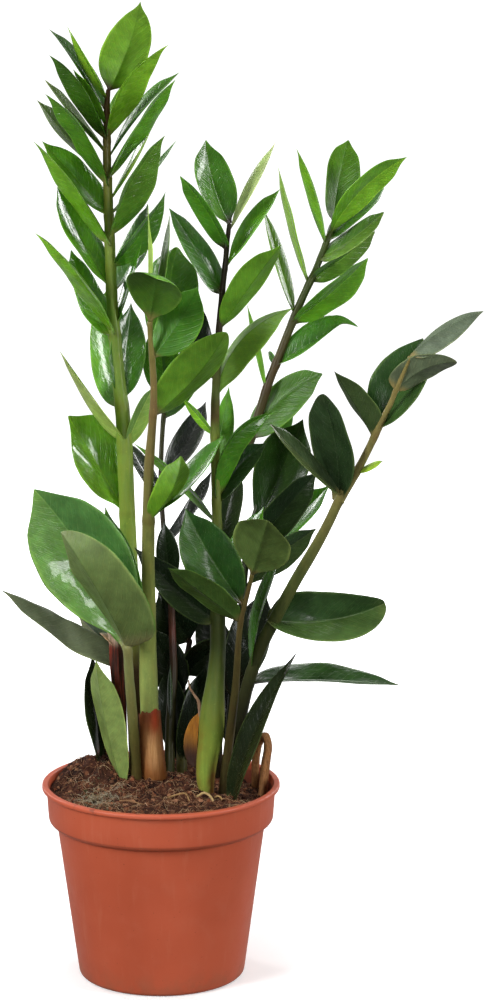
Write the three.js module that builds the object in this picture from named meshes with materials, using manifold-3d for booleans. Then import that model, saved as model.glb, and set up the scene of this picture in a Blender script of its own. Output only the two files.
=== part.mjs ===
import * as THREE from 'three';
import { mergeVertices } from 'three/addons/utils/BufferGeometryUtils.js';
import Module from 'manifold-3d';

// Potted ZZ plant. Millimetres, +Z up, origin at the centre of the pot's flat
// underside, the front of the plant faces -Y.

// ---- driving dimensions ------------------------------------------------
const POT_HEIGHT = 141;        // underside to the top of the lip
const POT_BASE_R = 59.4;       // outer radius at the underside
const POT_BODY_TOP_R = 74.5;   // outer radius just under the collar
const COLLAR_Z = 114;          // lower edge of the collar
const COLLAR_LOW_R = 80.3;     // outer radius of the collar at its lower edge
const COLLAR_TOP_R = 81.8;     // outer radius of the collar under the lip
const LIP_R = 85;              // outer radius of the rolled lip
const LIP_H = 3.2;             // height of the rolled lip
const POT_WALL = 1.8;          // wall thickness
const POT_FLOOR = 2.6;         // floor thickness
const POT_SEGMENTS = 40;
const GAP = 0.35;              // clearance between neighbouring pieces
const SOIL_LEVEL = 134;        // general level of the compost
const LEAF_THICKNESS = 1.6;    // leaf blade at the midrib
const STEM_SIDES = 8;
const SHEATH_WALL = 0.9;
const SHEATH_GAP = 0.4;

// Stalks: centre line x, y, z and radius, from the foot in the compost to the
// top of each frond.
const STALKS = {
  a: [
    [-15.8, 34, 120, 6.92],
    [-16.2, 34, 132.3, 6.91],
    [-18.8, 37, 191.5, 6.88],
    [-20.8, 39.9, 235.5, 6.69],
    [-22.8, 43.1, 279.2, 6.31],
    [-24.4, 46.4, 322.7, 5.94],
    [-25.4, 48.7, 351.6, 5.75],
    [-27.3, 52.3, 394.7, 5.38],
    [-30.4, 54.8, 423.3, 4.83],
    [-32.8, 57.3, 451.9, 4.47],
    [-34.9, 59.9, 480.3, 4.11],
    [-36.1, 63.1, 515.8, 3.74],
    [-36.8, 65.1, 537, 3.38],
    [-37.4, 67.1, 558.2, 3.13],
    [-38, 69.2, 579.3, 2.84],
    [-37.9, 71.2, 600.4, 2.49],
    [-37.9, 72.8, 615.9, 1.99],
    [-36.9, 74, 628.5, 1.42],
  ],
  b: [
    [-4.4, 17, 120, 6.87],
    [-4.8, 17, 133.5, 6.86],
    [-7.4, 13.4, 168.1, 6.65],
    [-8.5, 8.7, 198.9, 6.44],
    [-8.8, 1.9, 237.4, 6.04],
    [-8.1, -5.8, 275.6, 5.12],
    [-7.8, -12.4, 305.9, 4.57],
    [-7.2, -19.3, 336, 4.19],
    [-6.9, -24.7, 358.4, 3.65],
    [-6.2, -29.4, 377, 3.4],
    [-4.6, -34.2, 395.4, 2.97],
    [-3.1, -39, 413.7, 2.75],
    [-2.3, -44, 431.9, 2.33],
    [-3.1, -49.7, 452.1, 2.05],
    [-4.3, -54.2, 468, 1.7],
    [-4.4, -58, 480.8, 1.53],
  ],
  c: [
    [-17.1, 13, 120, 4.15],
    [-17.7, 13, 134.6, 4.14],
    [-19, 4.3, 166.9, 3.8],
    [-20.5, -7.1, 199.4, 3.55],
    [-21.8, -16.5, 223.8, 3.32],
    [-22.4, -26, 247.1, 3.02],
  ],
  d: [
    [33.9, -2, 120, 4.31],
    [33.6, -2, 130.1, 4.66],
    [32.2, -2.1, 142.7, 6.44],
    [33.3, -2.2, 157.6, 7.68],
    [35.9, -2.4, 172.4, 8.74],
    [37, -2.6, 187.2, 8.91],
    [38.1, -2.8, 202, 7.83],
    [39.5, -3.1, 216.7, 6.58],
    [41, -3.6, 238.7, 5.6],
    [41, -4.1, 262.9, 5.13],
    [41.1, -5.2, 304.4, 4.05],
    [40.4, -6, 333.3, 3.37],
    [39.5, -6.9, 362.1, 3.15],
    [39.1, -7.8, 386.5, 3.15],
    [39.3, -8.8, 417.1, 3],
    [41, -10, 447.5, 2.5],
    [42.4, -11.1, 475.7, 2.08],
    [44.5, -12, 496.7, 1.94],
    [46.3, -12.7, 514.2, 1.86],
    [47.7, -13.4, 529.5, 1.58],
    [49.1, -14, 542.7, 1.24],
  ],
  e: [
    [39.3, 46, 120, 4.4],
    [39.3, 46, 121.2, 4.57],
    [39, 48.5, 150.8, 4.57],
    [39, 52.1, 187.6, 4.38],
    [39.6, 55.8, 224.2, 4.23],
    [41.3, 59.8, 260.6, 4],
    [43.1, 63, 289.7, 3.85],
    [45.7, 65.4, 311.5, 3.7],
    [49.3, 67.5, 329.6, 3.56],
    [54.7, 69.6, 347.6, 3.41],
    [60.5, 71.7, 365.7, 3.26],
    [66.7, 74, 385.1, 3.22],
    [72.8, 76.2, 403.8, 3.19],
    [77.9, 78.1, 419.7, 3.11],
    [83.7, 79.8, 434, 3.04],
    [89.8, 81.7, 449.8, 2.96],
    [95.6, 83.5, 464.1, 2.82],
    [101, 85, 477, 2.67],
    [106, 86.3, 487.7, 2.53],
    [111.1, 87.7, 498.5, 2.38],
    [116.4, 89.3, 512, 2.16],
    [120.7, 90.7, 522.7, 1.88],
    [124.3, 92, 533.4, 1.44],
  ],
  f: [
    [50.1, 15, 120, 4.34],
    [50.1, 15, 125, 4.69],
    [52.3, 8.6, 154.5, 4.49],
    [56.6, 0, 186.5, 4.46],
    [60.8, -6.4, 208.8, 4.44],
    [65.8, -12.1, 227.7, 4.42],
    [73.5, -18.9, 249.8, 4.51],
    [81.1, -24.2, 266.2, 4.42],
    [88.1, -29.1, 280.9, 4.26],
    [95.6, -34.2, 296.4, 4.04],
    [104.1, -39.8, 312.6, 3.88],
    [111.9, -45.1, 327.8, 3.66],
    [118.6, -50.2, 342.3, 3.44],
    [124.6, -55.4, 356.6, 3.23],
    [133.2, -61.1, 372.4, 2.94],
    [140.4, -66.7, 387.3, 2.72],
    [146.9, -72.3, 402.1, 2.51],
    [152.6, -77.6, 416.1, 2.16],
    [158, -82.5, 428.5, 1.89],
    [161.4, -86.5, 438.7, 1.68],
    [166.4, -91.7, 451.7, 1.34],
    [170.1, -96, 462.5, 1.13],
  ],
  g: [
    [44, 4, 120, 3.24],
    [44.4, 4, 131.3, 3.59],
    [47.6, -4.1, 161.8, 3.36],
    [50.9, -13.7, 190.2, 3.05],
    [53.1, -21.1, 210.4, 2.82],
    [54.5, -29, 230.6, 2.46],
    [55.7, -38.9, 254.6, 2.09],
    [57.7, -46.8, 272.9, 1.87],
    [60.8, -52.7, 286.4, 1.66],
    [63.5, -58.4, 299, 1.52],
    [64.9, -62, 306.8, 1.37],
  ],
  h: [
    [48.5, 50, 120, 3.49],
    [48.5, 50, 127.7, 3.48],
    [48.8, 54.4, 149.2, 3.44],
    [49.6, 59.5, 170.5, 3.37],
    [51.4, 63.9, 188.3, 3.15],
    [54, 68.5, 206, 2.93],
    [55.9, 72.3, 220.2, 2.79],
    [57.3, 78, 241.4, 2.72],
    [58.7, 83.8, 262.7, 2.65],
    [61.7, 91.7, 291, 2.57],
    [65.4, 96.7, 308.8, 2.5],
    [69.8, 100.7, 323, 2.36],
    [75.7, 106.9, 344.3, 2.06],
    [80.1, 112, 362.1, 1.7],
  ],
  i: [
    [4.6, 42, 120, 3.73],
    [4.7, 42, 133.8, 3.79],
    [5.2, 47.3, 158.7, 3.65],
    [5.9, 51.6, 176.4, 3.43],
    [6.9, 56.1, 194.1, 3.14],
    [7.9, 60.2, 209.6, 2.85],
    [7.1, 65.5, 229.3, 2.56],
    [6, 73.2, 257.5, 2.27],
    [2.3, 83.2, 292.8, 2.05],
    [-0.3, 90.3, 317.6, 1.83],
    [-1.5, 99.6, 349.4, 1.76],
    [-0.1, 109, 381.3, 1.69],
    [2.8, 117.4, 409.8, 1.62],
    [6.4, 126, 438.2, 1.47],
  ],
  j: [
    [14.3, 47, 120, 3.59],
    [14.1, 47, 132.3, 3.66],
    [13.3, 59.3, 159.2, 3.59],
    [13.1, 71.6, 182.5, 3.09],
    [15.2, 82.6, 202.4, 2.44],
    [19.5, 94, 222.4, 1.85],
  ],
};

// Leaf blades, grouped by the frond that carries them. Each row: name, root
// x y z, tip x y z, upper face direction x y z, full width, bend of the
// midrib x y z, half-fold in degrees, outline skew, outline fullness, twist in
// degrees, hook of the tip x y z, side flag.
const LEAVES = {
  a: [
    ['a00', -37, 73.9, 627.5, -13.2, 59.9, 691.5, -0.196, 0.94, 0.279, 35.6, 2.9, 3.3, -0.4, 12.7, 0.85, 1.14, -4.5, 0, 0, 0, 1],
    ['a01', -37.5, 73.3, 621.4, -66.4, 86.5, 672.9, -0.848, -0.37, -0.38, 20.6, 0.5, -7.3, 0.7, 11.7, 0.98, 1.01, -7, 0, 0, 0, 0],
    ['a02', -37.9, 72.4, 612.3, -79, 83.3, 670.9, 0.787, -0.188, 0.587, 27.6, 1.8, 5.5, 1.3, 11.6, 1.1, 0.95, 10.5, 0, 0, 0, 0],
    ['a04', -37.9, 71.5, 602.6, -61, 59.5, 644.1, 0.779, 0.335, 0.53, 20.5, -0.6, 4.6, -0.3, 12.9, 1.04, 0.84, 10.6, 0, 0, 0, 1],
    ['a03', -38, 70.5, 592.9, -78.2, 66.6, 653.5, -0.713, -0.486, -0.505, 31.8, 5.6, -5.2, 3.8, 21.7, 0.83, 0.96, 21.3, 0, 0, 0, 0],
    ['a05', -38, 69.7, 584.7, -82.1, 79.7, 635.2, 0.747, -0.054, 0.663, 25, -1.3, -0.6, -1, 15.5, 1.14, 0.66, -20.3, 0, 0, 0, 0],
    ['a06', -37.7, 67.9, 566.1, -88.3, 84.7, 620.7, 0.633, -0.345, 0.693, 29.4, -2, 8.5, -1.7, 12.3, 1.07, 0.88, -8.1, 0, 0, 0, 0],
    ['a07', -37.5, 67.4, 560.8, -80.8, 57.6, 626.8, -0.712, -0.454, -0.536, 33.4, 6.5, -10.9, 4.6, 21, 0.8, 0.9, 25.7, 0, 0, 0, 0],
    ['a08', -36.8, 65.4, 539.7, -84.2, 71.3, 592.6, 0.558, -0.606, 0.567, 29.6, -0, 1.7, 0.1, 11, 0.98, 0.9, 5.8, 0, 0, 0, 0],
    ['a09', -36.2, 63.5, 519.1, -89.3, 51.1, 594.3, -0.717, -0.399, -0.572, 33, 3.8, -6, 2.8, 17.1, 0.65, 0.99, 13.5, 0, 0, 0, 0],
    ['a10', -35.2, 60.7, 489, -74.1, 74.1, 559.7, 0.692, -0.537, 0.482, 34.3, -2.2, -1, -0.9, 12.7, 1.16, 0.73, -6.5, 0, 0, 0, 0],
    ['a11', -33.1, 57.6, 455.4, -88.1, 42.6, 530.2, -0.692, -0.414, -0.592, 31.1, 6.5, -20, 6.3, 18, 0.82, 0.94, 15, 0, 0, 0, 0],
    ['a12', -33.1, 57.6, 455.4, -64.3, 70.1, 515, 0.65, -0.601, 0.466, 28.2, -3.7, 1.3, -1.8, 5.6, 0.78, 0.6, 9.6, 0, 0, 0, 0],
    ['a16', -28.1, 53, 402.9, -36.3, 78.9, 490.1, -0.487, -0.849, 0.206, 34.2, -4.5, 14.4, -1.9, 8.5, 0.84, 0.81, 5.1, 0, 0, 0, 0],
    ['a17', -28.5, 53.3, 406.5, -21.5, 66.4, 478, 0.369, -0.92, 0.133, 28.1, 0.2, -1, 0.2, 12, 1.03, 1.13, -0.1, 0, 0, 0, 0],
    ['a14', -26.5, 51, 379, -71.8, 37, 447.6, -0.777, -0.272, -0.568, 28.5, -0.2, -0.6, -0.2, 12, 0.76, 0.97, -16.1, 0, 0, 0, 0],
    ['a13', -24.5, 46.7, 326.9, -66.2, 41.7, 399.4, 0.679, -0.648, 0.345, 55.1, -0.3, 7.7, -2.1, 15.6, 1.5, 0.75, 15.8, 0, 0, 0, 0],
    ['a15', -26.2, 50.5, 373.1, -5.2, 60.5, 418.1, 0.741, -0.639, -0.205, 21.5, -0.9, -1.5, 0.8, 13.6, 1.03, 0.97, -12, 0, 0, 0, 0],
    ['a19', -37.9, 71.7, 604.7, -23.6, 83.7, 634.9, 0.514, 0.684, -0.517, 12.8, -0.2, 1.2, -0.4, 6, 1, 1, 0, 0, 0, 0, 1],
    ['r02', -38, 70.5, 592.9, 7.3, 60.5, 661.5, 0.696, -0.484, -0.53, 37, -9.6, -1.9, 6.1, 26.9, 0.85, 1.3, -21, 0, 0, 0, 0],
    ['r03', -38, 69.2, 579.3, 13.9, 79.2, 640.9, -0.754, -0.091, 0.651, 28.2, -2.3, -0.4, 2, 14.3, 1.3, 1.09, 24, 0, 0, 0, 0],
    ['r04', -37.7, 67.9, 566.1, 11.5, 57.8, 637, 0.75, -0.34, -0.568, 33.7, -3.2, -5.2, 2.4, 16, 0.76, 0.91, -25.1, 0, 0, 0, 0],
    ['r05', -37.2, 66.4, 550.2, -2.6, 82.3, 612.3, -0.858, -0.103, 0.503, 23.6, 2.8, 2.5, -1.7, 12.7, 1.12, 0.97, 15.8, 0, 0, 0, 0],
    ['r06', -36.4, 64, 524.8, 4, 57, 598, 0.701, -0.561, -0.44, 36.9, -4.5, -4.3, 2.5, 25.6, 0.82, 1.06, -21.9, 0, 0, 0, 0],
    ['r07', -36.8, 65.4, 539.7, 11.5, 84.3, 592.3, 0.691, 0.179, -0.7, 22.2, -0.2, 3.3, -0.4, 6, 1, 1, 0, 0, 0, 0, 1],
    ['r08', -35.7, 62, 503.2, 3.8, 70, 557.2, 0.686, -0.599, -0.414, 28.7, 2.6, -0.3, -1.8, 16, 0.9, 1.28, 3.4, 0, 0, 0, 0],
    ['r09', -35.1, 60.3, 484.5, -9.5, 84.2, 547.2, -0.63, -0.604, 0.488, 29.6, 4.2, 18.7, -3.6, 9.3, 0.98, 0.94, -1.6, 0, 0, 0, 0],
    ['r10', -33.4, 57.9, 458.8, -12.8, 48.2, 523.2, -0.928, -0.271, 0.255, 20.5, -0.3, 7.5, -1.2, 6, 1, 1, 0, 0, 0, 0, 0],
    ['c02', -20.3, 39.2, 224.9, -111.9, -8.9, 283.6, -0.598, 0.19, -0.778, 43.9, -0.4, -3.3, 2.4, 24.5, 0.65, 0.87, -2.8, 0, 0, 0, 1],
    ['c07', -19.8, 38.4, 214.5, -60.8, 48.6, 251.3, -0.476, -0.826, -0.303, 22.4, -0.2, 1.8, -0.4, 6, 1, 1, 0, 0, 0, 0, 0],
  ],
  b: [
    ['b00', -4.4, -57.7, 479.8, -5.2, -52.7, 559.7, 0.993, 0.115, 0.003, 27.2, -0.1, 3.3, -0.4, 6, 1, 1, 0, 0, 0, 0, 1],
    ['b06', -4.4, -56.4, 475.4, 9.2, -44.4, 552.7, 0.952, 0.229, -0.203, 23.8, -0, 0.9, -0.1, 6, 1, 1, 0, 0, 0, 0, 1],
    ['b01', -4.4, -58, 480.8, 2.1, -117, 517.5, 0.304, 0.527, 0.794, 40.7, 2.1, 4.9, 12.7, -13, 1, 1, 0, 0, 0, 0, 1],
    ['b02', -3.2, -50.3, 454.4, 28.3, -64.3, 505.5, 0.382, 0.924, 0.018, 31.8, 2.1, 2.8, -0.5, 11.4, 1.05, 1.06, -4.6, 0, 0, 0, 1],
    ['b03', -3.1, -39, 413.7, 47.1, -45, 472.1, -0.453, 0.759, 0.467, 42.2, 3.6, 2.3, -2.9, 19.6, 1, 0.68, -11, 0, 0, 0, 1],
    ['b04', -7.2, -19.3, 336, 15.9, -38.5, 384.9, -0.204, 0.875, 0.439, 24.8, 5.3, -10.7, 0.9, 34, 1.16, 0.5, -30.5, 0, 0, 0, 1],
    ['b05', -7.2, -19.3, 336, 45.5, -18.2, 396.8, -0.698, -0.373, 0.612, 29.2, 2, 1.4, -2.5, 11.2, 1.1, 1.1, 14.6, 0, 0, 0, 0],
  ],
  c: [
    ['c00', -22.4, -26, 247.1, -66.4, -56.9, 335.2, 0.41, 0.777, 0.477, 57.9, 1.7, -19.1, 6.7, 26.3, 0.65, 0.65, 19.2, 0, 0, 0, 1],
    ['c01', -22.3, -24.3, 243, -87.2, -17, 357.6, -0.182, -0.983, -0.04, 69.9, 6.5, 7, 1.7, 11.8, 1.35, 0.9, -9.2, 0, 0, 0, 0],
    ['c06', -22.2, -23.1, 240.1, -38.3, -3.6, 342.9, -0.668, -0.743, 0.036, 44.5, 3.8, 5.4, -0.7, 10.4, 0.95, 1.03, -3, 0, 0, 0, 0],
  ],
  c4: [
    ['c04', -25, 12, 126, -45.9, 2, 230.1, 0.753, 0.623, 0.211, 34.8, -3.1, 2.6, -0.4, 14.5, 1.25, 0.89, 13.8, 0, 0, 0, 1],
  ],
  c5: [
    ['c05', -44, 34, 126, -50.6, 42, 223.1, 0.85, -0.518, 0.101, 30.8, 0.6, -2.8, 0.3, 7.1, 1.38, 0.99, -33, 0, 0, 0, 0],
  ],
  d: [
    ['d00', 49.1, -14, 542.7, 33.4, -19, 600.7, 0.331, -0.943, 0.007, 29.9, -2.8, -0.2, -1.3, 28.7, 1.06, 0.7, -42.4, 0, 0, 0, 0],
    ['d01', 47.3, -13.2, 525.9, 15.7, -24.3, 576.6, -0.617, -0.596, -0.514, 21.8, 2.3, -3.4, 1.3, 15.6, 0.83, 0.55, 4.4, 0, 0, 0, 0],
    ['d02', 44.3, -11.9, 494.3, 7.7, -7.9, 553, 0.615, -0.663, 0.428, 23.5, 0.9, -2.4, 0.7, 3.4, 0.77, 0.68, 3.3, 0, 0, 0, 0],
    ['d03', 48.5, -13.7, 537, 81.4, -3.7, 598.7, -0.859, -0.166, 0.485, 21.2, 0.9, -0.8, -0.4, 12.4, 1.12, 1.25, 1.3, 0, 0, 0, 0],
    ['d04', 46.1, -12.6, 512.1, 84.2, -6.6, 566, -0.703, -0.454, 0.548, 23, 0.5, -1.7, -0.1, 20.2, 1.3, 0.89, -1.7, 0, 0, 0, 0],
    ['d05', 42, -10.9, 469.2, 84.7, -22.9, 529.2, -0.498, 0.71, 0.497, 30.5, -0.2, 2.5, 0.6, 13.5, 1.08, 0.86, 2.4, 0, 0, 0, 1],
    ['d07', 39.3, -8.8, 417.1, 93.8, -22.8, 485.7, 0.712, 0.533, -0.457, 32.4, -9.9, 4, 8.7, 24.4, 1.22, 1.07, -29.7, 0, 0, 0, 1],
    ['d08', 40.1, -9.4, 432.5, 28.8, 0.6, 488.1, 0.563, -0.786, 0.255, 20.7, -5.8, -2.6, -0.7, 11.1, 1.02, 0.94, -0.5, 0, 0, 0, 0],
    ['d13', 39.1, -8, 393.7, 15.9, 8, 417.9, -0.754, -0.55, -0.36, 12.6, -0.2, -0.8, 0.4, 6, 1, 1, 0, 0, 0, 0, 0],
    ['d14', 40.5, -5.9, 329.8, -18.9, 12.6, 385, -0.673, -0.479, -0.564, 20, 2.6, 3.7, 2.3, 6, 1, 1, 0, 0, 0, 0, 0],
    ['d09', 39.5, -6.9, 362.1, 48.9, 6.1, 426.7, 0.698, 0.675, -0.238, 20, -0, 5.5, -1, 6, 1, 1, 0, 0, 0, 0, 1],
    ['d15', 39.9, -6.5, 348, 80.9, -15.7, 411.9, 0.608, -0.631, -0.482, 27.6, -12.7, -4, 8.7, 31, 0.76, 0.85, -54.7, 0, 0, 0, 0],
    ['d16', 40.1, -6.4, 344.3, 75.6, 2.6, 386.8, -0.359, -0.806, 0.47, 21.4, -3.3, 0.1, 2.8, 12.8, 1.05, 0.81, 1.3, 0, 0, 0, 0],
    ['d10', 41.1, -5.2, 304.4, 56.6, 8.8, 367.8, 0.466, -0.881, 0.081, 21.2, -2.1, -2.8, 1.1, 12, 1.06, 0.8, -1.3, 0, 0, 0, 0],
    ['d11', 41.1, -5.1, 299.7, 73.4, -9.1, 344, -0.607, -0.698, 0.38, 22.5, 3.5, -2.7, -2.8, 13.7, 1.12, 1.31, 2.2, 0, 0, 0, 0],
    ['d12', 41, -4, 259, -18.5, 8.8, 310.8, 0.316, -0.771, 0.553, 28, -1.9, 4.4, -2.9, 9.9, 0.71, 0.91, 5.9, 0, 0, 0, 0],
  ],
  e: [
    ['e00', 124.3, 92, 533.4, 134.2, 84.9, 592.2, 0.529, 0.849, 0.014, 31.1, -0.9, 5.2, 0.3, 18.8, 0.88, 0.67, 21.1, 0, 0, 0, 1],
    ['e01', 118.2, 89.9, 516.3, 96.6, 81.9, 586.8, -0.885, -0.348, -0.31, 22.3, 3.4, -1.2, 0.9, 14.2, 0.94, 1.05, 9.6, 0, 0, 0, 0],
    ['e02', 106, 86.3, 487.7, 83.9, 92.3, 572.3, -0.942, -0.246, -0.229, 24.5, -0, -1, 0.1, 6, 1, 1, 0, 0, 0, 0, 0],
    ['e03', 96.3, 83.7, 465.8, 73.1, 93.7, 543.4, 0.915, -0.261, 0.307, 22.8, -0, -1.2, 0.1, 6, 1, 1, 0, 0, 0, 0, 0],
    ['e04', 121.3, 90.8, 524.1, 176.1, 83.6, 580.2, 0.398, -0.776, -0.489, 25.2, -4.9, -5.5, 4.8, 10.4, 1.11, 0.85, -7.2, 0, 0, 0, 0],
    ['e05', 119.7, 90.3, 520.1, 160.5, 99.4, 556.5, -0.426, -0.642, 0.637, 19.9, -0.9, 0.1, 1.3, 6.7, 0.97, 0.5, 9.6, 0, 0, 0, 0],
    ['e06', 114.5, 88.7, 507, 159.7, 78.7, 541.3, -0.58, -0.544, 0.607, 21.7, 1, -2.1, -1.9, 4.1, 0.8, 0.5, 12.4, 0, 0, 0, 0],
    ['e07', 107.9, 86.8, 491.6, 154, 92.8, 526.1, 0.473, -0.721, -0.507, 20.3, 0.9, -2, -0.8, 20.6, 0.93, 0.5, 25.1, 0, 0, 0, 0],
    ['e08', 94.2, 83, 460.7, 148.4, 75, 508.7, 0.424, -0.685, -0.593, 30.9, 0.9, -2.4, -1.4, 12.9, 1.08, 0.63, 3.7, 0, 0, 0, 0],
    ['e09', 82.2, 79.4, 430.4, 136, 83.4, 464.5, -0.426, -0.529, 0.734, 29.3, 0.3, -2.1, -0.2, 32.3, 1.25, 0.65, -26, 6, 0, -7, 0],
    ['e10', 64.4, 73.1, 377.8, 115.9, 63.1, 426.5, 0.517, 0.761, -0.391, 31.7, -3.6, 3.8, 4.5, 10.2, 0.93, 0.66, 3.6, 0, 0, 0, 1],
    ['e11', 75.4, 77.2, 412, 61.6, 83.2, 474.4, 0.928, 0.329, 0.174, 15.4, -0, 1, -0.1, 2, 1, 1, 0, 0, 0, 0, 1],
    ['e13', 82.9, 79.6, 432.2, 76.9, 89.6, 438.4, -0.873, -0.481, -0.077, 8, -0.2, -0.3, 0.3, 6, 1, 1, 0, 0, 0, 0, 0],
  ],
  h: [
    ['h01', 63, 93.8, 298.6, 102.4, 83.9, 390.1, -0.607, -0.775, 0.177, 44.7, 0.9, 4.1, -2.4, 9.4, 1.5, 1, 45.3, 0, 0, 0, 0],
    ['h02', 61.3, 90.8, 288, 111.9, 80.2, 350.8, 0.32, -0.857, -0.403, 31.2, -0.6, -13.1, 1.9, 6.1, 1, 0.57, -3.4, 0, 0, 0, 0],
    ['h03', 60.5, 88.8, 280.9, 122.1, 105.9, 336.2, -0.514, -0.471, 0.717, 31.1, 1, 4.8, -1.7, 10.7, 1.16, 0.7, 22.2, 0, 0, 0, 0],
    ['h04', 58.7, 83.8, 262.7, 113, 86.5, 308.6, 0.353, -0.861, -0.367, 26.3, -1.9, -4, 2.7, 12.2, 1.32, 1.07, -8.6, 0, 0, 0, 0],
    ['h05', 80.1, 112, 362.1, 94.7, 108, 397.1, 0.539, -0.782, -0.314, 16, -0.2, -1.4, -0.1, 6, 1, 1, 0, 0, 0, 0, 0],
    ['h06', 48.9, 55, 151.9, 43.2, 89.3, 232.7, -0.616, -0.74, 0.27, 31.7, -0.1, 7.3, -1.7, 6, 1, 1, 0, 0, 0, 0, 0],
    ['h07', 50.9, 62.8, 183.9, 59.5, 66.3, 256.1, 0.314, -0.95, 0.008, 23.3, -0, -14.1, 3.1, 6, 1, 1, 0, 0, 0, 0, 0],
    ['h08', 48.6, 51.9, 138.3, 52.8, 73, 182.1, -0.641, -0.665, 0.383, 12.7, 0, 3.3, -0.6, 6, 1, 1, 0, 0, 0, 0, 0],
    ['h09', 51.7, 64.5, 190.5, 75.7, 93.2, 260.6, 0.205, -0.928, 0.31, 29.9, 0.1, -5.8, 1.7, 6, 1, 1, 0, 0, 0, 0, 0],
    ['h10', 51.7, 64.5, 190.5, 27.6, 102.2, 246.4, -0.269, -0.848, 0.457, 28.4, -0.2, -1.9, 1.1, 6, 1, 1, 0, 0, 0, 0, 0],
  ],
  f: [
    ['f00', 170.1, -96, 462.5, 218.3, -106, 494.8, 0.531, 0.587, -0.611, 22.3, -1.3, 2.5, 2.7, 25.7, 0.77, 1.05, 20, 0, 0, 0, 1],
    ['f01', 161.4, -86.5, 438.7, 200.7, -108.5, 461, 0.04, 0.746, 0.665, 25.5, -1.3, 2.4, 4.7, 12.7, 0.65, 0.65, -12.2, 0, 0, 0, 1],
    ['f02', 149.1, -74.3, 407.5, 180.7, -60.3, 470.2, -0.383, -0.841, 0.381, 41.5, 0.8, -3.3, 0.3, 22.5, 1.04, 1.06, 33.7, 0, 0, 0, 0],
    ['f04', 147.6, -73, 403.9, 119.7, -87, 451.7, 0.531, 0.678, 0.509, 27.3, 0.1, 1.8, 0.6, 28.6, 0.65, 1.08, 19.5, 0, 0, 0, 1],
    ['f05', 124.6, -55.4, 356.6, 112.4, -61.4, 432.1, -0.728, -0.664, -0.17, 41.3, 3.6, -2.5, 0.4, 10.2, 1.42, 0.5, -8.9, 0, 0, 0, 0],
    ['f06', 126.6, -56.8, 360.5, 76.9, -76.8, 413.9, 0.75, -0.331, 0.573, 23.2, -0.6, -1.8, -1.2, 13.2, 1.11, 0.62, -4.4, 0, 0, 0, 0],
    ['f07', 136, -63.2, 378, 153.5, -77.2, 388.5, 0.678, 0.375, -0.632, 7.4, 0.5, 0.6, 0.1, 6, 1, 1, 0, 0, 0, 0, 1],
    ['f08', 75.6, -20.1, 265.2, 158.6, -16.1, 275.8, -0.013, -0.899, 0.438, 44.9, 1, -5.5, -5.5, 34, 0.78, 0.5, 63.5, 0, 0, 0, 0],
    ['f09', 62.5, -8.5, 216, 172.2, -22.2, 217.2, -0.054, -0.344, 0.937, 28.9, -0.1, 4.9, 1.6, 29, 0.71, 1.17, 19.2, 0, 0, 0, 0],
    ['f11', 65, -11.3, 225.2, 84.5, -29.3, 311, -0.949, -0.275, 0.158, 23.5, -4.2, -1.2, 0.7, 14.8, 0.96, 0.79, 13, 0, 0, 0, 0],
  ],
  f10: [
    ['f10', 48, -9, 118, 98, -27, 245.2, -0.838, -0.48, 0.261, 27.6, -6.2, -8.3, 3.3, 13.9, 0.9, 1.08, -7.4, 0, 0, 0, 0],
  ],
  g: [
    ['g00', 64.8, -61.7, 306.2, 75.4, -115.7, 354.9, 0.411, 0.653, 0.636, 42.6, 0.7, 2, 2.1, 6, 1, 1, 0, 0, 0, 0, 1],
    ['g01', 57.1, -45, 268.8, 7.3, -67.9, 312.3, 0.194, 0.759, 0.622, 27.7, -0.5, 0.2, 1.1, 13.7, 0.94, 0.83, 6.8, 0, 0, 0, 1],
    ['g02', 59.6, -50.6, 281.6, 18.7, -45.6, 349.8, -0.125, -0.992, -0.002, 40.5, -1.6, -1.2, -1.3, 15.4, 1.06, 1.07, 9.1, 0, 0, 0, 0],
  ],
  i: [
    ['i01', 6.4, 126, 438.2, 10.5, 120, 511.4, 0.468, -0.878, -0.098, 45.2, -4.2, -3.3, -0, 10.1, 1.04, 0.5, -7.5, 0, 0, 0, 0],
    ['i02', 1.6, 114.3, 399.2, -3.2, 100.3, 458.9, -0.12, -0.964, -0.236, 28.3, 0.2, -2.9, -0.7, 6, 1, 1, 0, 0, 0, 0, 0],
    ['i03', -1.5, 98.4, 345.4, 31.6, 106.4, 399.6, -0.396, -0.843, 0.365, 21.8, 3, -3.1, -1.4, 11.5, 1.08, 1.03, -0.1, 0, 0, 0, 0],
    ['i04', -1, 93.6, 329, -27, 99.6, 371.8, 0.653, -0.586, 0.48, 17.2, 0.1, -1.7, 0.3, 6, 1, 1, 0, 0, 0, 0, 0],
    ['i05', 1.9, 84.2, 296.4, 35.3, 90.2, 349.7, -0.668, -0.567, 0.482, 16.9, 3.6, 3.5, -3.2, 28.6, 0.78, 0.57, 45.1, 0, 0, 0, 0],
    ['i06', 5.3, 75.6, 266.1, 1.4, 66, 318, 0.446, -0.885, -0.132, 19.1, 0.2, -5.4, 0.2, 6, 1, 1, 0, 0, 0, 0, 0],
    ['i07', 0.2, 110.1, 385, 30.8, 120.1, 433.9, -0.464, -0.765, 0.447, 23.4, 0.1, -2.4, 0.4, 6, 1, 1, 0, 0, 0, 0, 0],
    ['i08', 5.7, 50.6, 172.2, 6.1, 41, 217.4, -0.911, -0.405, -0.078, 9.2, 0.1, -6.2, 1.2, 6, 1, 1, 0, 0, 0, 0, 0],
  ],
  j: [
    ['j01', 19.2, 93.1, 220.9, -3.5, 75, 263.1, 0.438, -0.887, -0.145, 35.9, 0.8, -3.9, -0.2, 6, 1, 1, 0, 0, 0, 0, 0],
    ['j02', 14.5, 79.9, 197.5, 50.7, 65.9, 229.2, -0.275, -0.955, -0.108, 25.1, -2.1, -2, 1.6, 15.1, 1.16, 1.12, 0.4, 0, 0, 0, 0],
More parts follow.
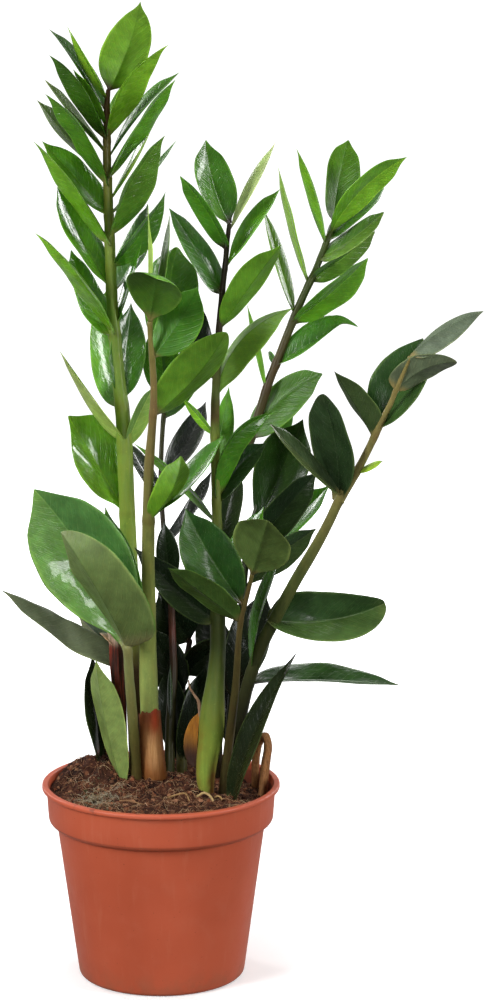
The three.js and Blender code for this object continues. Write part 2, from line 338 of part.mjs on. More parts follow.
    ['j03', 13.2, 73.1, 185.1, -9.4, 71.7, 238.4, -0.04, -0.998, -0.042, 31.3, 0.2, 2.6, -1.3, 6, 1, 1, 0, 0, 0, 0, 0],
    ['j04', 13, 70.1, 179.7, 31.6, 68.1, 206.1, -0.612, -0.694, 0.379, 8.4, -0.2, -1.3, 0, 6, 1, 1, 0, 0, 0, 0, 0],
    ['j05', 13.9, 49.2, 138.6, 3, 69.3, 210.3, -0.431, -0.884, 0.181, 27.1, -0.1, 4.1, -1, 6, 1, 1, 0, 0, 0, 0, 0],
    ['j06', 13.9, 49.2, 138.6, 31.7, 63.6, 211.8, 0.524, -0.851, 0.04, 26.1, 0, -5.1, 1.1, 6, 1, 1, 0, 0, 0, 0, 0],
  ],
};

// Stump of a dead stalk and a root that arches out of the compost: centre line
// and radius.
const STUB = [
  [-27.4, 20.5, 116.7, 3.04],
  [-27.6, 20.5, 136.2, 3.04],
  [-28.2, 18.5, 166.6, 3.24],
  [-29.6, 15.5, 193.5, 3.81],
  [-31, 13.5, 212.5, 4.37],
  [-31.8, 12, 231.3, 4.79],
  [-32, 11.5, 249, 4.78],
];
const ROOT = [
  [71.7, 12, 114.7, 2.96],
  [72.8, 13, 128.6, 2.96],
  [74.9, 14, 149.3, 3.02],
  [76.7, 16, 162.1, 3.1],
  [74.9, 21, 168.2, 3.03],
  [70.7, 27, 163.6, 2.97],
  [68.2, 31, 150.4, 2.9],
  [67.4, 32, 132.9, 2.91],
  [67.1, 32, 119.3, 2.91],
];

// Half width of a blade along its length, as a share of its widest place.
const OUTLINE = [0.07, 0.0848, 0.1514, 0.2774, 0.3911, 0.5074, 0.6, 0.6683, 0.7301, 0.7847, 0.8317, 0.8703, 0.9, 0.9248, 0.9481, 0.9688, 0.9852, 0.9961, 1, 0.9981, 0.993, 0.985, 0.9748, 0.963, 0.95, 0.932, 0.9058, 0.873, 0.835, 0.7935, 0.75, 0.7003, 0.6412, 0.5756, 0.5062, 0.4359, 0.363, 0.2848, 0.2, 0.105, 0];

// Stations along a blade where its section is built.
const STATIONS = [0, 0.07, 0.18, 0.36, 0.56, 0.75, 0.9];
const NARROW_STATIONS = [0, 0.1, 0.3, 0.6, 0.86];
const NARROW = 17;             // blades narrower than this use the short list

const wasm = await Module();
wasm.setup();

const V = (x, y, z) => new THREE.Vector3(x, y, z);
const clamp01 = (v) => Math.min(1, Math.max(0, v));

function outline(t) {
  const s = clamp01(t) * (OUTLINE.length - 1);
  const i = Math.min(OUTLINE.length - 2, Math.floor(s));
  return OUTLINE[i] + (OUTLINE[i + 1] - OUTLINE[i]) * (s - i);
}

// Indexed triangle soup -> solid, turned right way out when needed.
function solid(points, tris) {
  const build = (list) => new wasm.Manifold(new wasm.Mesh({
    numProp: 3,
    vertProperties: new Float32Array(points.flatMap((p) => [p.x, p.y, p.z])),
    triVerts: new Uint32Array(list.flat()),
  }));
  let volume = 0;
  for (const [a, b, c] of tris) {
    volume += points[a].dot(V(0, 0, 0).crossVectors(points[b], points[c]));
  }
  return build(volume > 0 ? tris : tris.map(([a, b, c]) => [a, c, b]));
}

function bladeFrame(r, t) {
  const root = V(r[1], r[2], r[3]);
  const tip = V(r[4], r[5], r[6]);
  const up = V(r[7], r[8], r[9]);
  const width = r[10];
  const bend = V(r[11], r[12], r[13]);
  const [fold, skew, full, twist] = [r[14], r[15], r[16], r[17]];
  const hook = V(r[18], r[19], r[20]);
  const h = Math.max(0, (t - 0.85) / 0.15);
  const chord = tip.clone().sub(root);
  const c = root.clone().addScaledVector(chord, t)
    .addScaledVector(bend, 4 * t * (1 - t)).addScaledVector(hook, h * h);
  const along = chord.clone().addScaledVector(bend, 4 * (1 - 2 * t))
    .addScaledVector(hook, (2 * h) / 0.15).normalize();
  let n = up.clone().addScaledVector(along, -up.dot(along)).normalize();
  const a = THREE.MathUtils.degToRad(twist * (t - 0.5));
  const side0 = V(0, 0, 0).crossVectors(along, n);
  n = n.clone().multiplyScalar(Math.cos(a)).addScaledVector(side0, Math.sin(a));
  const side = V(0, 0, 0).crossVectors(along, n);
  const w = Math.max(0.8, (width / 2) * Math.pow(outline(Math.pow(t, skew)), full));
  return { c, n, side, w, fold: THREE.MathUtils.degToRad(fold) };
}

// A folded blade with sharp margins and a thick midrib, closed at both ends.
function blade(r, thickness = LEAF_THICKNESS) {
  const pts = [];
  const stations = r[10] < NARROW ? NARROW_STATIONS : STATIONS;
  for (const t of stations) {
    const { c, n, side, w, fold } = bladeFrame(r, t);
    const half = (thickness / 2) * (1 - 0.55 * t * t * t);
    const lift = w * Math.sin(fold);
    const reach = w * Math.cos(fold);
    pts.push(c.clone().addScaledVector(side, -reach).addScaledVector(n, lift));
    pts.push(c.clone().addScaledVector(n, half));
    pts.push(c.clone().addScaledVector(side, reach).addScaledVector(n, lift));
    pts.push(c.clone().addScaledVector(n, -half));
  }
  pts.push(V(r[4] + r[18], r[5] + r[19], r[6] + r[20]));
  const tris = [];
  const rings = stations.length;
  for (let i = 0; i < rings - 1; i++) {
    for (let k = 0; k < 4; k++) {
      const a = 4 * i + k;
      const b = 4 * i + ((k + 1) % 4);
      // every quad is cut from its margin to the next midrib point, so the
      // upper and lower face stay parallel and never cross on a twisted blade
      if (k % 2 === 0) tris.push([a, b, b + 4], [a, b + 4, a + 4]);
      else tris.push([a, b, a + 4], [b, b + 4, a + 4]);
    }
  }
  const e = 4 * (rings - 1);
  for (let k = 0; k < 4; k++) tris.push([e + k, e + ((k + 1) % 4), 4 * rings]);
  tris.push([0, 2, 1], [0, 3, 2]);
  return solid(pts, tris);
}

// Round tube with closed ends through centre points [x, y, z, radius].
function tube(line, sides = STEM_SIDES, extra = 0) {
  const pts = [];
  line.forEach((p, i) => {
    const q = line[Math.min(i + 1, line.length - 1)];
    const o = line[Math.max(i - 1, 0)];
    const d = V(q[0] - o[0], q[1] - o[1], q[2] - o[2]).normalize();
    const ref = Math.abs(d.x) > 0.9 ? V(0, 1, 0) : V(1, 0, 0);
    const x = ref.addScaledVector(d, -ref.dot(d)).normalize();
    const y = V(0, 0, 0).crossVectors(d, x);
    for (let k = 0; k < sides; k++) {
      const a = (2 * Math.PI * k) / sides;
      const rr = p[3] + extra;
      pts.push(V(p[0], p[1], p[2]).addScaledVector(x, rr * Math.cos(a))
        .addScaledVector(y, rr * Math.sin(a)));
    }
  });
  const tris = [];
  for (let i = 0; i < line.length - 1; i++) {
    for (let k = 0; k < sides; k++) {
      const a = sides * i + k;
      const b = sides * i + ((k + 1) % sides);
      tris.push([a, b, b + sides], [a, b + sides, a + sides]);
    }
  }
  const e = sides * (line.length - 1);
  for (let k = 1; k < sides - 1; k++) {
    tris.push([0, k + 1, k], [e, e + k, e + k + 1]);
  }
  return solid(pts, tris);
}

// Keep the one real body of a joined solid.
function mainBody(m) {
  const parts = m.decompose();
  if (parts.length < 2) return m;
  return parts.reduce((a, b) => (a.volume() >= b.volume() ? a : b));
}

function geometryOf(m) {
  const mesh = m.getMesh();
  const n = mesh.numProp;
  const pos = new Float32Array((mesh.vertProperties.length / n) * 3);
  for (let i = 0; i < pos.length / 3; i++) {
    pos[3 * i] = mesh.vertProperties[n * i];
    pos[3 * i + 1] = mesh.vertProperties[n * i + 1];
    pos[3 * i + 2] = mesh.vertProperties[n * i + 2];
  }
  const g = new THREE.BufferGeometry();
  g.setAttribute('position', new THREE.BufferAttribute(pos, 3));
  g.setIndex(new THREE.BufferAttribute(new Uint32Array(mesh.triVerts), 1));
  g.computeVertexNormals();
  return g;
}

function fromGeometry(g) {
  const c = g.clone();
  c.deleteAttribute('normal');
  c.deleteAttribute('uv');
  const m = mergeVertices(c, 1e-4);
  const p = m.getAttribute('position');
  const pts = [];
  for (let i = 0; i < p.count; i++) pts.push(V(p.getX(i), p.getY(i), p.getZ(i)));
  const idx = Array.from(m.getIndex().array);
  const tris = [];
  for (let i = 0; i < idx.length; i += 3) {
    const [a, b, d] = [idx[i], idx[i + 1], idx[i + 2]];
    if (a !== b && b !== d && a !== d) tris.push([a, b, d]);
  }
  return solid(pts, tris);
}

const group = new THREE.Group();
group.name = 'potted_zz_plant';

function add(name, m, colour, roughness) {
  const material = new THREE.MeshStandardMaterial({ color: colour, roughness });
  material.name = `${name}_material`;
  const mesh = new THREE.Mesh(geometryOf(m), material);
  mesh.name = name;
  group.add(mesh);
}

// ---- pot: thin-walled cup with a deep collar and a rolled lip ------------
const potProfile = [
  [0, 0], [POT_BASE_R - 3, 0], [POT_BASE_R - 0.8, 0.9], [POT_BASE_R, 3],
  [POT_BODY_TOP_R, COLLAR_Z - 2.2], [COLLAR_LOW_R - 2.6, COLLAR_Z - 0.6],
  [COLLAR_LOW_R - 0.6, COLLAR_Z + 0.8], [COLLAR_LOW_R, COLLAR_Z + 3],
  [COLLAR_TOP_R, POT_HEIGHT - LIP_H - 0.4], [LIP_R - 0.5, POT_HEIGHT - LIP_H],
  [LIP_R, POT_HEIGHT - LIP_H / 2], [LIP_R - 0.6, POT_HEIGHT - 0.3],
  [LIP_R - 1.6, POT_HEIGHT], [COLLAR_TOP_R - POT_WALL + 0.4, POT_HEIGHT - 0.5],
  [COLLAR_LOW_R - POT_WALL, COLLAR_Z + 1.6],
  [POT_BODY_TOP_R - POT_WALL, COLLAR_Z - 3.4],
  [POT_BASE_R - POT_WALL + 0.4, POT_FLOOR + 2], [POT_BASE_R - POT_WALL - 2, POT_FLOOR],
  [0, POT_FLOOR],
].map(([r, z]) => new THREE.Vector2(r, z));
// Turned about +Y, then stood up so that its axis is +Z.
const potGeometry = new THREE.LatheGeometry(potProfile, POT_SEGMENTS);
potGeometry.rotateX(Math.PI / 2);
add('pot', fromGeometry(potGeometry), 0xa8512f, 0.5);

// ---- compost: fills the pot, mounded high at the left and the back -------
function soilTop(x, y) {
  const mound = 15.5 * Math.exp(-(((x + 48) / 26) ** 2 + ((y - 34) / 24) ** 2));
  const ridge = 5.5 * Math.exp(-(((x + 8) / 34) ** 2 + ((y - 14) / 26) ** 2));
  const dip = -8.5 * clamp01((x - 22) / 48) * clamp01((y + 40) / 60);
  const front = 1.8 * clamp01((-y - 25) / 45);
  const lumps = 1.1 * Math.sin(0.21 * x + 0.7) * Math.sin(0.19 * y + 1.9)
    + 0.7 * Math.sin(0.43 * x - 0.31 * y);
  return SOIL_LEVEL + mound + ridge + dip + front + lumps;
}
function soil() {
  const seg = POT_SEGMENTS;
  const rIn = (z) => {
    const a = [POT_BASE_R - POT_WALL + 0.4, POT_FLOOR + 2];
    const b = [POT_BODY_TOP_R - POT_WALL, COLLAR_Z - 3.4];
    const c = [COLLAR_LOW_R - POT_WALL, COLLAR_Z + 1.6];
    const d = [COLLAR_TOP_R - POT_WALL + 0.4, POT_HEIGHT - 0.5];
    const mix = (p, q) => p[0] + ((q[0] - p[0]) * (z - p[1])) / (q[1] - p[1]);
    return z < b[1] ? mix(a, b) : z < c[1] ? mix(b, c) : mix(c, d);
  };
  const levels = [POT_FLOOR + GAP + 2, COLLAR_Z - 3.4, COLLAR_Z + 1.6];
  const pts = [V(0, 0, POT_FLOOR + GAP)];
  const ringAt = (radius, z) => {
    const start = pts.length;
    for (let k = 0; k < seg; k++) {
      const a = (2 * Math.PI * k) / seg;
      const x = radius * Math.cos(a);
      const y = radius * Math.sin(a);
      pts.push(V(x, y, z === null ? soilTop(x, y) : z));
    }
    return start;
  };
  const rings = [];
  rings.push(ringAt(rIn(levels[0]) - GAP - 2.2, POT_FLOOR + GAP));
  rings.push(ringAt(rIn(levels[0]) - GAP - 0.3, levels[0]));
  rings.push(ringAt(rIn(levels[1]) - GAP - 0.2, levels[1] + 0.4));
  rings.push(ringAt(rIn(levels[2]) - GAP - 0.2, levels[2] + 0.6));
  for (const radius of [79, 70, 60, 50, 40, 29, 18, 8]) {
    rings.push(ringAt(Math.min(radius, 79.2 - GAP), null));
  }
  const top = pts.length;
  pts.push(V(0, 0, soilTop(0, 0)));
  const tris = [];
  for (let k = 0; k < seg; k++) {
    const l = (k + 1) % seg;
    tris.push([0, rings[0] + l, rings[0] + k]);
    for (let i = 0; i < rings.length - 1; i++) {
      const [a, b] = [rings[i] + k, rings[i] + l];
      const [c, d] = [rings[i + 1] + k, rings[i + 1] + l];
      tris.push([a, b, d], [a, d, c]);
    }
    const e = rings[rings.length - 1];
    tris.push([e + k, e + l, top]);
  }
  return solid(pts, tris);
}

// ---- fronds: stalk and leaf blades grown as one body ---------------------
const bodies = {};
for (const [key, line] of Object.entries(STALKS)) {
  let m = tube(line);
  for (const row of LEAVES[key] ?? []) m = m.add(blade(row));
  bodies[`frond_${key}`] = mainBody(m.asOriginal().simplify(0.08));
}
for (const key of ['c4', 'c5', 'f10']) {
  bodies[`leaf_${key}`] = blade(LEAVES[key][0], LEAF_THICKNESS + 0.6);
}

// ---- papery sheath around the foot of frond b ----------------------------
function sheath(line, zLow, zHigh, sides = 14) {
  const at = (z) => {
    for (let i = 0; i < line.length - 1; i++) {
      const [p, q] = [line[i], line[i + 1]];
      if (z >= p[2] && z <= q[2]) {
        const s = (z - p[2]) / (q[2] - p[2]);
        return p.map((v, j) => v + (q[j] - v) * s);
      }
    }
    return line[line.length - 1];
  };
  const rows = 6;
  const pts = [];
  const shell = (outer) => {
    for (let i = 0; i <= rows; i++) {
      for (let k = 0; k < sides; k++) {
        const a = (2 * Math.PI * k) / sides;
        const ragged = i === rows ? 5 * Math.sin(3 * a + 0.8) + 3 * Math.sin(5 * a) : 0;
        const z = zLow + ((zHigh - zLow) * i) / rows + ragged * 0.8;
        const c = at(z);
        const swell = 1.1 * (1 - i / rows);
        const inner = (c[3] + SHEATH_GAP) / Math.cos(Math.PI / sides);
        const r = inner + (outer ? SHEATH_WALL + swell : 0);
        pts.push(V(c[0] + r * Math.cos(a), c[1] + r * Math.sin(a), z));
      }
    }
  };
  shell(false);
  shell(true);
  const off = (rows + 1) * sides;
  const tris = [];
  for (let k = 0; k < sides; k++) {
    const l = (k + 1) % sides;
    for (let i = 0; i < rows; i++) {
      const [a, b] = [i * sides + k, i * sides + l];
      tris.push([a, a + sides, b + sides], [a, b + sides, b]);
      tris.push([a + off, b + off, b + off + sides], [a + off, b + off + sides, a + off + sides]);
    }
    const [p, q] = [rows * sides + k, rows * sides + l];
    tris.push([p, p + off, q + off], [p, q + off, q]);
    tris.push([k, l, l + off], [k, l + off, k + off]);
  }
  return solid(pts, tris);
}
bodies.sheath_b = sheath(STALKS.b, 143, 189);

// ---- ochre scale leaf left of the foot of frond d, with its dried tip ----
const SCALE = ['scale', 24.6, 4.8, 150, 28.2, 5.0, 192, -0.45, -0.89, 0.02, 11.5, -4.5, 0.5, 0, 16, 0.8, 0.8, 0, 0, 0, 0];
const SCALE_TIP = [[27.9, 5, 184, 0.9], [28, 5.1, 191, 1.1], [26.8, 5.4, 199, 1.1], [23.6, 5.8, 204, 1], [20.6, 6.2, 209, 0.9], [20, 6.4, 214, 0.5]];
bodies.scale_d = mainBody(blade(SCALE, 1.5).add(tube(SCALE_TIP, 6)));

// ---- stump of a dead stalk with a torn flap, and the arching root --------
const STUB_FLAP = ['flap', -32.4, 11.2, 238, -43.5, 8.5, 248, 0.5, -0.5, 0.7, 6, 0, 0, 1.5, 8, 0.8, 0.7, 20, 0, 0, 0];
bodies.dead_stub = mainBody(tube(STUB).add(blade(STUB_FLAP, 1.5)));
bodies.arching_root = tube(ROOT);

// ---- compost with sockets for everything that is rooted in it ------------
let compost = soil();
for (const line of Object.values(STALKS)) {
  const low = line[0];
  const foot = [[low[0], low[1], low[2] - GAP, low[3]], ...line.filter((p) => p[2] < 190)];
  const next = line.find((p) => p[2] >= 190);
  if (next) foot.push(next);
  compost = compost.subtract(tube(foot, STEM_SIDES, GAP));
}
for (const line of [STUB, ROOT]) {
  compost = compost.subtract(tube(line, STEM_SIDES, GAP));
}
for (const key of ['c4', 'c5', 'f10']) {
  const r = LEAVES[key][0].slice();
  const socket = blade(r, LEAF_THICKNESS + 0.6 + 4 * GAP);
  compost = compost.subtract(socket);
  compost = compost.subtract(tube([[r[1], r[2], r[3] - 2, 3.2], [r[1], r[2], r[3] + 26, 3.2]], 8));
}
bodies.soil = mainBody(compost);

const LOOK = {
  soil: [0x5a3a28, 0.95], sheath_b: [0xa87848, 0.8], scale_d: [0xa86a20, 0.7],
  dead_stub: [0x5a2418, 0.85], arching_root: [0x7a5a34, 0.85],
};
for (const name of ['soil', ...Object.keys(bodies).filter((k) => k !== 'soil')]) {
  const [colour, roughness] = LOOK[name] ?? [0x3a6a22, 0.4];
  add(name, bodies[name], colour, roughness);
}

export default group;
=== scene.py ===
import bpy, math, random
import numpy as np
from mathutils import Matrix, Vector, noise


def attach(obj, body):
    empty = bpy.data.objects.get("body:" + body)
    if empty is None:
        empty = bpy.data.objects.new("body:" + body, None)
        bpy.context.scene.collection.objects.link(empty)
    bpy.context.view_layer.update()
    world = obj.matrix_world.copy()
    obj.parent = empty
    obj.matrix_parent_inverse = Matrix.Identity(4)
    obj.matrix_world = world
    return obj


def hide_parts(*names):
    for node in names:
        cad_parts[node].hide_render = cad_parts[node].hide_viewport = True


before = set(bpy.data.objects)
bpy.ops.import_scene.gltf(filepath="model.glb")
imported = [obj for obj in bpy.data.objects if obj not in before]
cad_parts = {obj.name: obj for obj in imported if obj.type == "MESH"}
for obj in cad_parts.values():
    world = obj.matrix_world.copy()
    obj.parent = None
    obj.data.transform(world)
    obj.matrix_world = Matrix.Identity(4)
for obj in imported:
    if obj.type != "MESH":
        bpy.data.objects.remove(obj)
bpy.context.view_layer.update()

MM = 0.001

# ---------------------------------------------------------------- tables (mm)
# Stalk centre lines: x, y, z, radius, from the foot to the top.
STALKS = {
    "a": [(-15.8, 34, 120, 6.92), (-16.2, 34, 132.3, 6.91), (-18.8, 37, 191.5, 6.88), (-20.8, 39.9, 235.5, 6.69), (-22.8, 43.1, 279.2, 6.31), (-24.4, 46.4, 322.7, 5.94), (-25.4, 48.7, 351.6, 5.75), (-27.3, 52.3, 394.7, 5.38), (-30.4, 54.8, 423.3, 4.83), (-32.8, 57.3, 451.9, 4.47), (-34.9, 59.9, 480.3, 4.11), (-36.1, 63.1, 515.8, 3.74), (-36.8, 65.1, 537, 3.38), (-37.4, 67.1, 558.2, 3.13), (-38, 69.2, 579.3, 2.84), (-37.9, 71.2, 600.4, 2.49), (-37.9, 72.8, 615.9, 1.99), (-36.9, 74, 628.5, 1.42)],
    "b": [(-4.4, 17, 120, 6.87), (-4.8, 17, 133.5, 6.86), (-7.4, 13.4, 168.1, 6.65), (-8.5, 8.7, 198.9, 6.44), (-8.8, 1.9, 237.4, 6.04), (-8.1, -5.8, 275.6, 5.12), (-7.8, -12.4, 305.9, 4.57), (-7.2, -19.3, 336, 4.19), (-6.9, -24.7, 358.4, 3.65), (-6.2, -29.4, 377, 3.4), (-4.6, -34.2, 395.4, 2.97), (-3.1, -39, 413.7, 2.75), (-2.3, -44, 431.9, 2.33), (-3.1, -49.7, 452.1, 2.05), (-4.3, -54.2, 468, 1.7), (-4.4, -58, 480.8, 1.53)],
    "c": [(-17.1, 13, 120, 4.15), (-17.7, 13, 134.6, 4.14), (-19, 4.3, 166.9, 3.8), (-20.5, -7.1, 199.4, 3.55), (-21.8, -16.5, 223.8, 3.32), (-22.4, -26, 247.1, 3.02)],
    "d": [(33.9, -2, 120, 4.31), (33.6, -2, 130.1, 4.66), (32.2, -2.1, 142.7, 6.44), (33.3, -2.2, 157.6, 7.68), (35.9, -2.4, 172.4, 8.74), (37, -2.6, 187.2, 8.91), (38.1, -2.8, 202, 7.83), (39.5, -3.1, 216.7, 6.58), (41, -3.6, 238.7, 5.6), (41, -4.1, 262.9, 5.13), (41.1, -5.2, 304.4, 4.05), (40.4, -6, 333.3, 3.37), (39.5, -6.9, 362.1, 3.15), (39.1, -7.8, 386.5, 3.15), (39.3, -8.8, 417.1, 3), (41, -10, 447.5, 2.5), (42.4, -11.1, 475.7, 2.08), (44.5, -12, 496.7, 1.94), (46.3, -12.7, 514.2, 1.86), (47.7, -13.4, 529.5, 1.58), (49.1, -14, 542.7, 1.24)],
    "e": [(39.3, 46, 120, 4.4), (39.3, 46, 121.2, 4.57), (39, 48.5, 150.8, 4.57), (39, 52.1, 187.6, 4.38), (39.6, 55.8, 224.2, 4.23), (41.3, 59.8, 260.6, 4), (43.1, 63, 289.7, 3.85), (45.7, 65.4, 311.5, 3.7), (49.3, 67.5, 329.6, 3.56), (54.7, 69.6, 347.6, 3.41), (60.5, 71.7, 365.7, 3.26), (66.7, 74, 385.1, 3.22), (72.8, 76.2, 403.8, 3.19), (77.9, 78.1, 419.7, 3.11), (83.7, 79.8, 434, 3.04), (89.8, 81.7, 449.8, 2.96), (95.6, 83.5, 464.1, 2.82), (101, 85, 477, 2.67), (106, 86.3, 487.7, 2.53), (111.1, 87.7, 498.5, 2.38), (116.4, 89.3, 512, 2.16), (120.7, 90.7, 522.7, 1.88), (124.3, 92, 533.4, 1.44)],
    "f": [(50.1, 15, 120, 4.34), (50.1, 15, 125, 4.69), (52.3, 8.6, 154.5, 4.49), (56.6, 0, 186.5, 4.46), (60.8, -6.4, 208.8, 4.44), (65.8, -12.1, 227.7, 4.42), (73.5, -18.9, 249.8, 4.51), (81.1, -24.2, 266.2, 4.42), (88.1, -29.1, 280.9, 4.26), (95.6, -34.2, 296.4, 4.04), (104.1, -39.8, 312.6, 3.88), (111.9, -45.1, 327.8, 3.66), (118.6, -50.2, 342.3, 3.44), (124.6, -55.4, 356.6, 3.23), (133.2, -61.1, 372.4, 2.94), (140.4, -66.7, 387.3, 2.72), (146.9, -72.3, 402.1, 2.51), (152.6, -77.6, 416.1, 2.16), (158, -82.5, 428.5, 1.89), (161.4, -86.5, 438.7, 1.68), (166.4, -91.7, 451.7, 1.34), (170.1, -96, 462.5, 1.13)],
    "g": [(44, 4, 120, 3.24), (44.4, 4, 131.3, 3.59), (47.6, -4.1, 161.8, 3.36), (50.9, -13.7, 190.2, 3.05), (53.1, -21.1, 210.4, 2.82), (54.5, -29, 230.6, 2.46), (55.7, -38.9, 254.6, 2.09), (57.7, -46.8, 272.9, 1.87), (60.8, -52.7, 286.4, 1.66), (63.5, -58.4, 299, 1.52), (64.9, -62, 306.8, 1.37)],
    "h": [(48.5, 50, 120, 3.49), (48.5, 50, 127.7, 3.48), (48.8, 54.4, 149.2, 3.44), (49.6, 59.5, 170.5, 3.37), (51.4, 63.9, 188.3, 3.15), (54, 68.5, 206, 2.93), (55.9, 72.3, 220.2, 2.79), (57.3, 78, 241.4, 2.72), (58.7, 83.8, 262.7, 2.65), (61.7, 91.7, 291, 2.57), (65.4, 96.7, 308.8, 2.5), (69.8, 100.7, 323, 2.36), (75.7, 106.9, 344.3, 2.06), (80.1, 112, 362.1, 1.7)],
    "i": [(4.6, 42, 120, 3.73), (4.7, 42, 133.8, 3.79), (5.2, 47.3, 158.7, 3.65), (5.9, 51.6, 176.4, 3.43), (6.9, 56.1, 194.1, 3.14), (7.9, 60.2, 209.6, 2.85), (7.1, 65.5, 229.3, 2.56), (6, 73.2, 257.5, 2.27), (2.3, 83.2, 292.8, 2.05), (-0.3, 90.3, 317.6, 1.83), (-1.5, 99.6, 349.4, 1.76), (-0.1, 109, 381.3, 1.69), (2.8, 117.4, 409.8, 1.62), (6.4, 126, 438.2, 1.47)],
    "j": [(14.3, 47, 120, 3.59), (14.1, 47, 132.3, 3.66), (13.3, 59.3, 159.2, 3.59), (13.1, 71.6, 182.5, 3.09), (15.2, 82.6, 202.4, 2.44), (19.5, 94, 222.4, 1.85)],
}
